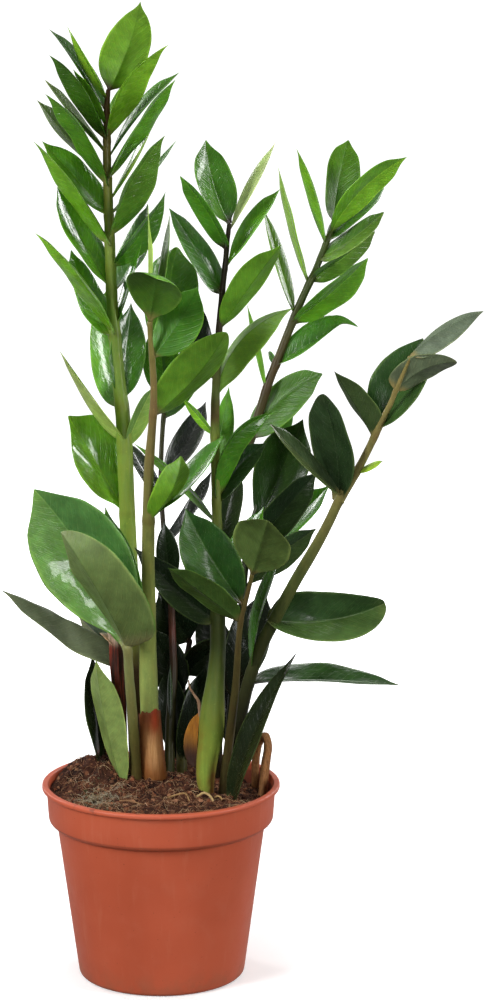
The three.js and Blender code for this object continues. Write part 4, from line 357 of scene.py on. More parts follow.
# ---------------------------------------------------------------- materials
def leaf_material(name, under, dull=False):
    n = Nodes(name)
    uv = n.new("ShaderNodeUVMap", uv_map="leaf")
    sep = n.new("ShaderNodeSeparateXYZ")
    n.link(uv.outputs[0], sep.inputs[0])
    x, y = sep.outputs[0], sep.outputs[1]           # cm across, cm along
    ax = n.math("ABSOLUTE", x)
    seedv = n.attr("seed").outputs["Fac"]
    seed3 = n.new("ShaderNodeCombineXYZ")
    n.link(x, seed3.inputs[0]); n.link(y, seed3.inputs[1]); n.link(seedv, seed3.inputs[2])
    P = seed3.outputs[0]
    wob = n.noise(P, 0.55, 2.0, 0.5)
    # side veins leave the midrib and arch towards the tip
    curve = n.math("MULTIPLY", n.math("POWER", n.math("ADD", ax, 0.02), 1.25), 1.15)
    ph = n.math("SUBTRACT", y, curve)
    ph = n.math("ADD", ph, n.math("MULTIPLY", wob, 0.5))
    v1 = n.math("PINGPONG", n.math("DIVIDE", ph, 0.62), 0.5)
    vein = n.rng(v1, 0.0, 0.13, 1.0, 0.0)
    v2 = n.math("PINGPONG", n.math("DIVIDE", n.math("ADD", ph, n.math("MULTIPLY", ax, 0.35)), 0.205), 0.5)
    fine = n.rng(v2, 0.0, 0.30, 1.0, 0.0)
    net = n.rng(n.voronoi(P, 5.2, "DISTANCE_TO_EDGE"), 0.0, 0.16, 1.0, 0.0)
    tone = n.attr("tone").outputs["Color"]
    mott = n.noise(P, 0.9, 4.0, 0.6)
    mott2 = n.noise(P, 4.5, 3.0, 0.6)
    hsv = n.new("ShaderNodeHueSaturation")
    n.link(tone, hsv.inputs["Color"])
    n.put(hsv.inputs["Value"], n.rng(mott, 0.30, 0.72, 0.80, 1.20))
    n.put(hsv.inputs["Hue"], n.rng(mott2, 0.3, 0.7, 0.487, 0.502))
    n.put(hsv.inputs["Saturation"], 0.96)
    base = hsv.outputs[0]
    lighter = n.mix(1.0, base, (1.55, 1.38, 1.25, 1), "MULTIPLY")
    veinf = n.math("MULTIPLY", vein, 0.42 if not under else 0.30)
    base = n.mix(veinf, base, lighter)
    base = n.mix(n.math("MULTIPLY", fine, 0.16), base, lighter)
    if under:
        base = n.mix(n.math("MULTIPLY", net, 0.22), base, n.mix(1.0, base, (0.72, 0.78, 0.7, 1), "MULTIPLY"))
        rib = n.rng(ax, 0.02, 0.075, 1.0, 0.0)
        base = n.mix(n.math("MULTIPLY", rib, 0.45), base, n.mix(1.0, base, (0.62, 0.72, 0.55, 1), "MULTIPLY"))
    else:
        base = n.mix(n.math("MULTIPLY", net, 0.10), base, lighter)
        rib = n.rng(ax, 0.015, 0.07, 1.0, 0.0)
        base = n.mix(n.math("MULTIPLY", rib, 0.55), base, n.mix(1.0, base, (2.2, 1.75, 2.2, 1), "MULTIPLY"))
    # tiny pale pores and specks of dust
    speck = n.rng(n.noise(P, 26.0, 1.0, 0.5), 0.70, 0.78, 0.0, 1.0)
    base = n.mix(n.math("MULTIPLY", speck, 0.30), base, (0.45, 0.52, 0.38, 1))
    n.link(base, n.bsdf.inputs["Base Color"])
    smear = n.noise(n.scaled(P, (1.6, 0.45, 1.0)), 1.3, 3.0, 0.6)
    if under:
        rough = n.rng(smear, 0.3, 0.7, 0.36, 0.52)
    else:
        rough = n.rng(smear, 0.3, 0.7, 0.15, 0.30)
        rough = n.math("ADD", rough, n.math("MULTIPLY", vein, 0.05))
    n.link(rough, n.bsdf.inputs["Roughness"])
    n.bsdf.inputs["IOR"].default_value = 1.47
    n.bsdf.inputs["Specular IOR Level"].default_value = (0.20 if dull else 0.55) if not under else (0.22 if dull else 0.4)
    if not under:
        n.bsdf.inputs["Coat Weight"].default_value = 0.10 if dull else 0.5
        n.bsdf.inputs["Coat Roughness"].default_value = 0.15 if dull else 0.07
    h = n.math("MULTIPLY", vein, -0.45 if not under else 0.6)
    h = n.math("ADD", h, n.math("MULTIPLY", fine, -0.22 if not under else 0.2))
    h = n.math("ADD", h, n.math("MULTIPLY", n.noise(n.scaled(P, (1.0, 0.40, 1.0)), 2.0, 2.0, 0.5), 2.4))
    h = n.math("ADD", h, n.math("MULTIPLY", mott2, 0.25))
    h = n.math("ADD", h, n.math("MULTIPLY", n.noise(P, 30.0, 2.0, 0.5), 0.03))
    n.link(n.bump(h, 0.40 if dull else 0.6, 0.0004), n.bsdf.inputs["Normal"])
    return n.m

def stalk_material(name):
    n = Nodes(name)
    P = n.obj()
    tone = n.attr("tone").outputs["Color"]
    along = n.noise(n.scaled(P, (1.0, 1.0, 0.055)), 420.0, 3.0, 0.6)
    blot = n.noise(n.scaled(P, (1.0, 1.0, 0.42)), 130.0, 4.0, 0.62)
    big = n.noise(n.scaled(P, (1.0, 1.0, 0.5)), 34.0, 3.0, 0.5)
    hsv = n.new("ShaderNodeHueSaturation")
    n.link(tone, hsv.inputs["Color"])
    n.put(hsv.inputs["Value"], n.rng(big, 0.3, 0.7, 0.84, 1.16))
    n.put(hsv.inputs["Hue"], n.rng(blot, 0.3, 0.7, 0.485, 0.512))
    base = hsv.outputs[0]
    base = n.mix(n.rng(along, 0.44, 0.72, 0.0, 0.34), base, n.mix(1.0, base, (1.45, 1.35, 1.25, 1), "MULTIPLY"))
    base = n.mix(n.rng(blot, 0.56, 0.72, 0.0, 0.42), base, n.mix(1.0, base, (0.50, 0.46, 0.45, 1), "MULTIPLY"))
    dots = n.rng(n.noise(n.scaled(P, (1, 1, 0.6)), 900.0, 1.0, 0.5), 0.66, 0.74, 0.0, 0.4)
    base = n.mix(dots, base, n.mix(1.0, base, (1.7, 1.6, 1.5, 1), "MULTIPLY"))
    n.link(base, n.bsdf.inputs["Base Color"])
    n.link(n.rng(blot, 0.3, 0.7, 0.30, 0.46), n.bsdf.inputs["Roughness"])
    n.bsdf.inputs["IOR"].default_value = 1.45
    n.bsdf.inputs["Specular IOR Level"].default_value = 0.28
    h = n.math("ADD", n.math("MULTIPLY", along, 1.0), n.math("MULTIPLY", blot, 0.8))
    n.link(n.bump(h, 0.35, 0.0004), n.bsdf.inputs["Normal"])
    return n.m

def dry_material(name, dark, light, fibre=True, rough=(0.6, 0.85)):
    n = Nodes(name)
    P = n.obj()
    tone = n.attr("tone").outputs["Color"]
    s = (1.0, 1.0, 0.07) if fibre else (1, 1, 0.4)
    streak = n.noise(n.scaled(P, s), 900.0, 4.0, 0.65)
    patch = n.noise(P, 160.0, 4.0, 0.6)
    base = n.mix(n.rng(streak, 0.40, 0.66, 0.0, 0.75), tone, n.mix(1.0, tone, tuple(dark) + (1,), "MULTIPLY"))
    base = n.mix(n.rng(patch, 0.52, 0.72, 0.0, 0.6), base, n.mix(1.0, base, tuple(light) + (1,), "MULTIPLY"))
    n.link(base, n.bsdf.inputs["Base Color"])
    n.link(n.rng(patch, 0.3, 0.7, rough[0], rough[1]), n.bsdf.inputs["Roughness"])
    n.bsdf.inputs["Specular IOR Level"].default_value = 0.3
    h = n.math("ADD", streak, n.math("MULTIPLY", patch, 0.6))
    n.link(n.bump(h, 0.6, 0.0006), n.bsdf.inputs["Normal"])
    return n.m

def pot_material():
    n = Nodes("pot_plastic")
    P = n.obj()
    sep = n.new("ShaderNodeSeparateXYZ")
    n.link(P, sep.inputs[0])
    z = sep.outputs[2]
    c = srgb(192, 88, 58)
    big = n.noise(P, 14.0, 3.0, 0.5)
    mid = n.noise(P, 70.0, 4.0, 0.6)
    grain = n.noise(P, 1400.0, 2.0, 0.5)
    drag = n.noise(n.scaled(P, (1.0, 1.0, 0.08)), 160.0, 3.0, 0.6)
    base = n.mix(n.rng(big, 0.32, 0.70, 0.0, 1.0), tuple(c * 0.93) + (1,), tuple(c * np.array([1.05, 1.10, 1.14])) + (1,))
    base = n.mix(n.rng(mid, 0.5, 0.78, 0.0, 0.22), base, tuple(srgb(196, 108, 78)) + (1,))
    base = n.mix(n.rng(drag, 0.56, 0.76, 0.0, 0.16), base, tuple(srgb(206, 128, 98)) + (1,))
    # a breath of dust at the foot
    dust = n.math("MULTIPLY", n.rng(z, 0.022, 0.0, 0.0, 0.5), n.rng(mid, 0.35, 0.65, 0.0, 1.0))
    base = n.mix(dust, base, tuple(srgb(150, 92, 66)) + (1,))
    # soil smudges on the rim
    smud = n.math("MULTIPLY", n.rng(z, 0.132, 0.142, 0.0, 1.0), n.rng(n.noise(P, 120.0, 4.0, 0.65), 0.58, 0.70, 0.0, 0.55))
    base = n.mix(smud, base, tuple(srgb(96, 48, 34)) + (1,))
    speck = n.rng(n.noise(P, 620.0, 1.0, 0.5), 0.74, 0.79, 0.0, 0.5)
    base = n.mix(speck, base, tuple(srgb(120, 52, 34)) + (1,))
    # painted shade: the inside wall above the compost is darkened where the rim shades it
    rad = n.math("SQRT", n.math("ADD", n.math("MULTIPLY", sep.outputs[0], sep.outputs[0]), n.math("MULTIPLY", sep.outputs[1], sep.outputs[1])))
    inner_wall_shade = n.math("MULTIPLY", n.rng(rad, 0.08005, 0.08025, 1.0, 0.0), n.rng(z, 0.1145, 0.117, 0.0, 1.0))
    inner_wall_shade = n.math("MULTIPLY", inner_wall_shade, n.rng(mid, 0.3, 0.7, 0.70, 0.92))
    base = n.mix(inner_wall_shade, base, tuple(srgb(84, 44, 30)) + (1,))
    n.link(base, n.bsdf.inputs["Base Color"])
    n.link(n.math("ADD", n.rng(mid, 0.3, 0.7, 0.36, 0.48), n.math("MULTIPLY", drag, 0.05)), n.bsdf.inputs["Roughness"])
    n.bsdf.inputs["IOR"].default_value = 1.49
    n.bsdf.inputs["Specular IOR Level"].default_value = 0.42
    h = n.math("ADD", n.math("MULTIPLY", grain, 0.25), n.math("MULTIPLY", mid, 1.0))
    h = n.math("ADD", h, n.math("MULTIPLY", drag, 0.6))
    n.link(n.bump(h, 0.22, 0.0006), n.bsdf.inputs["Normal"])
    return n.m

def soil_material(name, dark, mid, light, scale=1.0):
    n = Nodes(name)
    P = n.obj()
    a = n.noise(P, 90.0 * scale, 5.0, 0.68)
    b = n.noise(P, 420.0 * scale, 4.0, 0.65)
    c = n.noise(P, 38.0 * scale, 3.0, 0.5)
    base = n.mix(n.rng(a, 0.36, 0.64), tuple(dark) + (1,), tuple(mid) + (1,))
    base = n.mix(n.rng(b, 0.52, 0.74, 0.0, 0.85), base, tuple(light) + (1,))
    base = n.mix(n.rng(c, 0.5, 0.75, 0.0, 0.5), base, n.mix(1.0, base, (0.5, 0.45, 0.42, 1), "MULTIPLY"))
    n.link(base, n.bsdf.inputs["Base Color"])
    n.link(n.rng(b, 0.3, 0.7, 0.78, 0.98), n.bsdf.inputs["Roughness"])
    n.bsdf.inputs["Specular IOR Level"].default_value = 0.2
    h = n.math("ADD", n.math("MULTIPLY", b, 1.0), n.math("MULTIPLY", a, 1.0))
    n.link(n.bump(h, 0.8, 0.0012), n.bsdf.inputs["Normal"])
    return n.m

def tone_material(name, rough=(0.6, 0.9), scale=300.0, spec=0.25):
    n = Nodes(name)
    P = n.obj()
    tone = n.attr("tone").outputs["Color"]
    a = n.noise(P, scale, 4.0, 0.6)
    b = n.noise(P, scale * 4, 3.0, 0.6)
    base = n.mix(n.rng(a, 0.35, 0.65, 0.0, 0.6), tone, n.mix(1.0, tone, (0.55, 0.5, 0.46, 1), "MULTIPLY"))
    base = n.mix(n.rng(b, 0.55, 0.75, 0.0, 0.5), base, n.mix(1.0, tone, (1.5, 1.45, 1.4, 1), "MULTIPLY"))
    n.link(base, n.bsdf.inputs["Base Color"])
    n.link(n.rng(a, 0.3, 0.7, rough[0], rough[1]), n.bsdf.inputs["Roughness"])
    n.bsdf.inputs["Specular IOR Level"].default_value = spec
    n.link(n.bump(n.math("ADD", a, b), 0.5, 0.0005), n.bsdf.inputs["Normal"])
    return n.m

M_UP = leaf_material("leaf_upper", False)
M_UN = leaf_material("leaf_under", True)
M_UPD = leaf_material("leaf_upper_shade", False, True)
M_UND = leaf_material("leaf_under_shade", True, True)
M_STALK = stalk_material("stalk")
M_SHEATH = dry_material("dry_sheath", (0.78, 0.66, 0.56), (1.18, 1.18, 1.15), rough=(0.42, 0.6))
M_SCALE = dry_material("dry_scale", (0.55, 0.45, 0.35), (1.25, 1.25, 1.2))
M_STUB = dry_material("dead_stalk", (0.45, 0.38, 0.38), (1.3, 1.2, 1.15))
M_ROOT = dry_material("root_skin", (0.5, 0.42, 0.36), (1.3, 1.25, 1.2), fibre=False)
M_POT = pot_material()
M_SOIL = soil_material("compost", srgb(34, 18, 12), srgb(84, 50, 36), srgb(132, 92, 68))
M_CRUMB = tone_material("crumbs", (0.75, 0.98), 420.0, 0.18)
M_FIBRE = tone_material("fibres", (0.6, 0.85), 500.0, 0.25)

# ---------------------------------------------------------------- leaf blades
US = [0.0, 0.055, 0.13, 0.24, 0.37, 0.51, 0.65, 0.78, 0.89, 0.965, 1.0]
U = np.array([-u for u in US[:0:-1]] + US)          # -1 .. 1
NU = len(U)

def blade_frames(r, ts, roll=0.0):
    root, tip, up = np.array(r[1:4]), np.array(r[4:7]), np.array(r[7:10])
    W, bend = r[10], np.array(r[11:14])
    fold, skew, full, twist = r[14:18]
    hook = np.array(r[18:21])
    chord = tip - root
    C, T, N, S, Wd = [], [], [], [], []
    for t in ts:
        h = max(0.0, (t - 0.85) / 0.15)
        c = root + chord * t + 4 * t * (1 - t) * bend + h * h * hook
        along = nrm(chord + 4 * (1 - 2 * t) * bend + (2 * h / 0.15) * hook)
        n = nrm(up - up.dot(along) * along)
        a = math.radians(twist * (t - 0.5) + roll)
        s0 = np.cross(along, n)
        n = math.cos(a) * n + math.sin(a) * s0
        C.append(c); T.append(along); N.append(n); S.append(np.cross(along, n))
        Wd.append((W / 2) * outline(t ** skew) ** full)
    return map(np.array, (C, T, N, S, Wd))

def make_leaf(piece, r, look, seed, stalk_tone):
    rnd = random.Random(seed)
    L = float(np.linalg.norm(np.array(r[4:7]) - np.array(r[1:4])))
    nt = 46 if r[10] > 20 else 30
    s = np.linspace(0, 1, nt)
    ts = 0.72 * s + 0.28 * 0.5 * (1 - np.cos(np.pi * s))
    ts[-1] = 0.994
    C, T, N, S, Wd = blade_frames(r, ts, look.get("roll", 0.0))
    # the blade draws in to a short point
    Wd = np.maximum(Wd, 0.0) * (1 - look.get("sharp", 0.55) * smooth(0.82, 1.0, ts))
    stem_w = 0.85
    Wd = np.where(ts < 0.1, np.maximum(Wd, stem_w), Wd)
    fold = math.radians(r[14])
    wide = min(1.0, r[10] / 38.0) * look.get("calm", 1.0)
    wav = rnd.uniform(0.25, 0.75) * min(1.0, r[10] / 30.0) * look.get("calm", 1.0)
    pleat = look.get("pleat", 0.09) * wide
    gap = 7.5 + 2.5 * wide
    off = rnd.uniform(0, 1)
    place = Vector((rnd.uniform(-90, 90), rnd.uniform(-90, 90), rnd.uniform(-90, 90)))
    k1, p1, p2 = rnd.uniform(1.3, 2.4), rnd.uniform(0, 6.28), rnd.uniform(0, 6.28)
    cup = rnd.uniform(0.035, 0.075)
    verts, uv, col = [], [], []
    up_c, un_c = look["up"], look["un"]
    mid = len(ts) // 2
    # painted light and shade: the lower half of each blade is made lighter and the upper half darker, as light falls
    # across the fold
    low_side = 1.0 if S[mid][2] < 0 else -1.0
    half_shade_amt = min(1.0, abs(float(S[mid][2])) / 0.5) * look.get("half_shade", 1.0)
    tops, bots = [], []
    jit = 1 + rnd.uniform(-0.05, 0.05)
    for i, t in enumerate(ts):
        w = Wd[i]
        env = math.sin(math.pi * min(1, max(0, t))) ** 0.8
        au = np.abs(U)
        x = U * w * math.cos(fold)
        lift = w * math.sin(fold) * au ** 1.18 + cup * w * 4 * au * (1 - au) * env
        lift = lift + wav * env * au ** 2 * np.sin(2 * math.pi * k1 * t + np.where(U < 0, p1, p2))
        ph = (t * L - 1.05 * (np.abs(x) + 0.5) ** 1.08) / gap + off + np.where(U < 0, 0.45, 0.0)
        away = smooth(0.06, 0.22, au) * (1 - smooth(0.80, 0.98, au)) * env
        lift = lift + pleat * away * (1 - np.abs(np.sin(math.pi * ph)) ** 0.7 * 1.6 + 0.4) * -1.0
        soft = np.array([noise.noise(Vector((xx * 0.055, t * L * 0.035, 0.0)) + place) for xx in x])
        lift = lift + 2.1 * wide * soft * env * smooth(0.0, 0.25, au)
        thm = 0.62 + 1.15 * (1 - smooth(0.02, 0.13, t)) - 0.22 * t
        th = thm * np.sqrt(np.clip(1 - au ** 5, 0, 1)) * min(1.0, 0.25 + w / 2.2)
        rib = (1 - t) ** 0.6 * min(1.0, w / 3.0)
        top = lift + th / 2 - 0.26 * rib * np.exp(-(x / 0.85) ** 2)
        bot = lift - th / 2 - 0.62 * rib * np.exp(-(x / 0.95) ** 2)
        for arr, z in ((tops, top), (bots, bot)):
            row = []
            for j in range(NU):
                if arr is bots and j in (0, NU - 1):
                    row.append(tops[i][j]); continue
                row.append(len(verts))
                verts.append((C[i] + x[j] * S[i] + z[j] * N[i]) * MM)
                uv.append((U[j] * w / 10.0, t * L / 10.0))
                isup = arr is tops
                c = (up_c if isup else un_c) * jit
                if isup:
                    # painted light on the lower half, painted shade on the upper half
                    hs = float(smooth(-0.10, 0.10, U[j] * low_side)) * 2 - 1
                    c = c * (1 + half_shade_amt * hs * np.array([0.26, 0.17, 0.06]))
                if "low" in look:
                    lc, t0, t1 = look["low"]
                    k = 1 - smooth(t0, t1, t)
                    c = c * (1 - k) + srgb(*lc) * k
                # paler margin, tip and a touch of the stalk's colour at the root
                m = smooth(0.89, 0.975, au[j]) * 0.8 * env
                edge = c * np.array([1.9, 1.6, 1.7]) + np.array([0.035, 0.055, 0.012])
                c = c * (1 - m) + edge * m
                tipm = smooth(0.86, 1.0, t) * look.get("tip", 0.25)
                c = c * (1 - tipm) + (c * np.array([1.8, 1.35, 1.0]) + 0.01) * tipm
                rt = 1 - smooth(0.03, 0.12, t)
                c = c * (1 - rt) + stalk_tone * rt
                # painted shade: the blade is a little darker along the midrib, in the crease of the fold
                c = c * (0.93 + 0.10 * smooth(0.0, 0.7, au[j]))
                col.append(c)
            arr.append(row)
    tip = len(verts)
    tipp = (np.array(r[4:7]) + np.array(r[18:21]))
    verts.append(tipp * MM)
    uv.append((0.0, L / 10.0))
    col.append(up_c * 1.4)
    faces, mi = [], []
    for i in range(nt - 1):
        for j in range(NU - 1):
            faces.append((tops[i][j], tops[i][j + 1], tops[i + 1][j + 1], tops[i + 1][j])); mi.append(0)
            faces.append((bots[i][j + 1], bots[i][j], bots[i + 1][j], bots[i + 1][j + 1])); mi.append(1)
    for j in range(NU - 1):
        faces.append((tops[-1][j], tops[-1][j + 1], tip)); mi.append(0)
        faces.append((bots[-1][j + 1], bots[-1][j], tip)); mi.append(1)
    cap = tops[0] + bots[0][-2:0:-1]
    faces.append(tuple(reversed(cap))); mi.append(1)
    # side runs left to right with the upper face up
    ob = add_mesh(piece, verts, faces, [M_UPD, M_UND] if look.get("dull") else [M_UP, M_UN], mi, uv, col, floats={"seed": [seed * 0.37 % 50.0] * len(verts)})
    return ob

# ---------------------------------------------------------------- tubes
def make_tube(piece, line, mat, colour_fn, sides=20, step=3.0, shape_fn=None, slot=None):
    P = catmull(line, 10)
    d = np.r_[0, np.cumsum(np.linalg.norm(np.diff(P[:, :3], axis=0), axis=1))]
    n = max(6, int(d[-1] / step))
    q = np.linspace(0, d[-1], n + 1)
    P = np.array([[np.interp(v, d, P[:, k]) for k in range(4)] for v in q])
    verts, col, faces = [], [], []
    prev = None
    for i in range(len(P)):
        a, b = P[max(i - 1, 0)], P[min(i + 1, len(P) - 1)]
        t = nrm(b[:3] - a[:3])
        if prev is None:
            ref = np.array([1.0, 0, 0]) if abs(t[0]) < 0.9 else np.array([0, 1.0, 0])
        else:
            ref = prev
        x = nrm(ref - ref.dot(t) * t)
        prev = x
        y = np.cross(t, x)
        for k in range(sides):
            an = 2 * math.pi * k / sides
            dirv = math.cos(an) * x + math.sin(an) * y
            rr = P[i][3]
            p = P[i][:3]
            if shape_fn:
                rr = rr + shape_fn(p, dirv, an, q[i] / d[-1], rr)
            verts.append((p + rr * dirv) * MM)
            col.append(colour_fn(p, dirv, q[i] / d[-1]))
    N = len(P)
    for i in range(N - 1):
        for k in range(sides):
            a, b = i * sides + k, i * sides + (k + 1) % sides
            faces.append((a, b, b + sides, a + sides))
    # rounded ends: one small ring and a pole
    for end, i in ((0, 0), (1, N - 1)):
        a, b = P[max(i - 1, 0)], P[min(i + 1, N - 1)]
        t = nrm(b[:3] - a[:3]) * (1 if end else -1)
        ring = list(range(i * sides, i * sides + sides))
        r0 = P[i][3]
        new = []
        cen = P[i][:3]
        for k in range(sides):
            v = np.array(verts[ring[k]]) / MM
            new.append(len(verts))
            verts.append((cen + (v - cen) * 0.62 + t * r0 * 0.42) * MM)
            col.append(col[ring[k]])
        pole = len(verts)
        verts.append((cen + t * r0 * 0.6) * MM)
        col.append(col[ring[0]])
        for k in range(sides):
            l = (k + 1) % sides
            if end:
                faces.append((ring[k], ring[l], new[l], new[k]))
                faces.append((new[k], new[l], pole))
            else:
                faces.append((ring[l], ring[k], new[k], new[l]))
                faces.append((new[l], new[k], pole))
    return add_mesh(piece, verts, faces, [mat], None, None, col)

def ramp(stops):
    zs = [s[0] for s in stops]
    cs = np.array([srgb(*s[1]) for s in stops])
    return lambda z: np.array([np.interp(z, zs, cs[:, k]) for k in range(3)])

# Stalk colours by height in mm. The dark low ends of stalks a, e and f and the dark top of stalk d are painted shade
# where the clump shades them.
STALK_TONES = {
    "a": [(120, (58, 42, 26)), (215, (66, 50, 30)), (252, (120, 138, 56)), (330, (132, 158, 62)), (400, (118, 144, 56)), (470, (108, 136, 50)), (540, (132, 146, 64)), (585, (124, 118, 62)), (612, (92, 66, 42)), (640, (66, 44, 30))],
    "b": [(120, (150, 130, 84)), (190, (150, 166, 92)), (250, (128, 142, 72)), (330, (110, 112, 58)), (420, (124, 108, 66)), (500, (120, 120, 58))],
    "c": [(120, (86, 70, 38)), (180, (92, 90, 46)), (225, (124, 130, 78)), (260, (136, 142, 92))],
    "d": [(118, (112, 92, 44)), (130, (120, 126, 54)), (145, (124, 144, 58)), (178, (118, 138, 54)), (205, (90, 106, 44)), (245, (62, 74, 32)), (297, (80, 88, 42)), (350, (100, 112, 48)), (398, (136, 152, 66)), (407, (92, 74, 40)), (425, (86, 100, 42)), (465, (56, 48, 32)), (530, (46, 38, 28))],
    "e": [(115, (40, 38, 22)), (260, (54, 54, 30)), (385, (66, 64, 32)), (425, (72, 58, 32)), (480, (60, 70, 30)), (560, (74, 92, 36))],
    "f": [(115, (28, 27, 18)), (195, (38, 40, 24)), (250, (62, 68, 36)), (300, (84, 94, 48)), (380, (130, 122, 72)), (480, (134, 122, 70))],
    "g": [(115, (56, 50, 28)), (220, (74, 68, 36)), (300, (90, 80, 42)), (330, (96, 98, 46))],
    "h": [(115, (34, 34, 20)), (380, (46, 60, 26))],
    "i": [(120, (58, 62, 28)), (190, (46, 44, 24)), (225, (60, 36, 24)), (236, (90, 50, 34)), (262, (48, 34, 24)), (330, (46, 40, 26)), (450, (76, 82, 42))],
    "j": [(120, (86, 92, 42)), (155, (76, 72, 36)), (185, (46, 32, 22)), (260, (50, 30, 22))],
}

# Greens of the plant, from the youngest leaflets to the ones in deep shade.
YOUNG, BRIGHT, FRESH, LIME = (118, 172, 18), (98, 162, 12), (76, 142, 10), (146, 190, 36)
MID, GRASS, DEEP, DARK = (56, 118, 8), (62, 120, 26), (44, 96, 10), (36, 76, 22)
SHADE, NIGHT, SLATE = (24, 50, 16), (20, 34, 18), (44, 50, 46)
OLIVE, MOSS, GREY, PALE, GREYOL = (98, 122, 62), (74, 106, 44), (120, 136, 106), (136, 158, 92), (100, 112, 84)
# (upper face, underside) by frond, then for single leaflets that differ. The near-black looks of fronds h and j, of c5
# and f10 and of leaflets deep in the clump are painted shade; the grey of c07 is a painted sheen.
FROND_LOOK = {
    "a": (MID, FRESH), "b": (FRESH, MOSS), "c": (GRASS, OLIVE), "d": (MID, FRESH), "e": (FRESH, BRIGHT),
    "f": (DARK, GREYOL), "g": (DEEP, MOSS), "h": ((16, 26, 12), (16, 26, 12)), "i": (DARK, MOSS), "j": ((18, 30, 14), (18, 28, 13)),
    "c4": (MOSS, (122, 148, 74)), "c5": ((24, 38, 12), (24, 38, 12)), "f10": ((28, 38, 18), (30, 42, 18)),
}
LEAF_LOOK = {
    "a00": (BRIGHT, (96, 146, 17)), "a19": (BRIGHT, BRIGHT), "a04": ((110, 164, 26), BRIGHT), "r02": ((112, 168, 26), YOUNG), "r03": ((64, 118, 22), (70, 124, 24)),
    "r04": (FRESH, BRIGHT), "r05": (BRIGHT, LIME), "a09": (BRIGHT, BRIGHT), "a10": (FRESH, BRIGHT), "a11": (BRIGHT, BRIGHT), "a13": (BRIGHT, BRIGHT),
    "a14": ((158, 188, 92), LIME), "a15": ((112, 152, 64), (112, 152, 64)), "a16": (FRESH, BRIGHT), "a02": ((40, 84, 12), (44, 88, 12)), "a05": ((92, 124, 54), (96, 128, 60)), "a06": ((84, 116, 50), (90, 122, 54)),
    "a07": ((60, 116, 10), (74, 140, 14)), "a03": ((44, 88, 8), (60, 112, 10)), "a08": (FRESH, BRIGHT), "a12": (FRESH, BRIGHT), "a01": ((112, 168, 24), LIME), "a17": (DEEP, MID), "r06": ((72, 120, 28), (84, 136, 30)),
    "b00": (YOUNG, LIME), "b01": (FRESH, (64, 108, 22)), "b02": (FRESH, MID), "b03": (FRESH, (84, 134, 22)), "b04": (BRIGHT, (92, 146, 16)), "b05": (MID, BRIGHT),
    "c01": ((84, 136, 58), OLIVE), "c02": (MOSS, (92, 104, 74)), "c07": (GREY, GREY),
    "d00": ((54, 108, 14), (60, 112, 16)), "d05": (BRIGHT, (86, 142, 16)), "d07": (FRESH, (94, 142, 24)), "d03": ((150, 176, 104), (150, 176, 104)), "d04": (FRESH, FRESH), "d01": (MID, MID), "d02": ((42, 96, 8), (44, 98, 10)),
    "d08": (NIGHT, DARK), "d10": ((26, 44, 14), (26, 46, 14)), "d11": (MID, BRIGHT), "d12": ((26, 44, 18), (26, 42, 18)), "d13": (BRIGHT, YOUNG), "d14": (FRESH, YOUNG),
    "d15": (MID, MID), "d16": (SHADE, SHADE), "d09": (MID, FRESH),
    "e00": (FRESH, (72, 122, 10)), "e01": (BRIGHT, BRIGHT), "e02": (YOUNG, LIME), "e03": ((84, 128, 30), (84, 128, 30)), "e10": ((62, 118, 10), (60, 110, 12)), "e08": (FRESH, BRIGHT),
    "e04": (BRIGHT, BRIGHT), "e05": (DEEP, MID), "e06": ((84, 128, 42), (88, 136, 40)), "e07": ((76, 120, 38), (82, 130, 36)), "e09": (MID, BRIGHT),
    "f00": (OLIVE, (92, 108, 84)), "f01": (OLIVE, (94, 108, 80)), "f02": ((44, 76, 32), (46, 78, 34)), "f04": (MOSS, (54, 74, 36)), "f06": ((62, 80, 44), (66, 84, 50)),
    "f05": ((34, 54, 28), (36, 56, 30)), "f08": ((52, 80, 36), OLIVE), "f09": ((38, 68, 24), (52, 80, 38)), "f11": (DEEP, DEEP), "f07": (OLIVE, LIME),
    "g00": (OLIVE, (78, 102, 46)), "g01": (DEEP, (52, 80, 26)), "g02": ((36, 72, 22), MOSS),
    "h01": ((28, 56, 12), DEEP), "h02": ((26, 46, 18), (26, 44, 18)), "h03": (MID, BRIGHT), "h04": ((44, 66, 32), MOSS), "h05": (MID, MOSS),
    "i01": (FRESH, MOSS), "i02": (MID, MOSS), "i03": (SLATE, SLATE), "i04": ((26, 40, 20), (26, 40, 20)), "i05": (SLATE, SLATE), "i06": ((20, 38, 14), (20, 40, 14)), "i07": (MID, MOSS),
    "i08": (SHADE, SHADE), "j04": (SHADE, SHADE),
}
LEAF_EXTRA = {"e03": {"roll": -8.0, "calm": 0.1}, "d03": {"roll": 8.0, "calm": 0.1}, "a02": {"roll": -5.0, "calm": 0.2}, "a14": {"roll": 5.0, "calm": 0.2}, "r03": {"roll": 5.0, "calm": 0.2},
    "f09": {"tip": 0.8}, "f08": {"tip": 0.6, "sharp": 0.1}, "a05": {"tip": 0.5, "calm": 0.2}, "b01": {"sharp": 0.0}, "g00": {"sharp": 0.0},
    "f01": {"sharp": 0.1}, "f00": {"sharp": 0.2}, "c00": {"sharp": 0.1, "pleat": 0.16}, "c01": {"sharp": 0.35, "pleat": 0.34}, "a13": {"pleat": 0.30},
    "a16": {"pleat": 0.26}, "a17": {"pleat": 0.26}, "b02": {"sharp": 0.3}, "b03": {"sharp": 0.1}, "a11": {"pleat": 0.14}, "r06": {"pleat": 0.16},
    "f02": {"sharp": 0.1, "pleat": 0.16}, "f05": {"sharp": 0.2}, "f04": {"sharp": 0.25}, "g02": {"pleat": 0.16}, "i01": {"pleat": 0.2}}

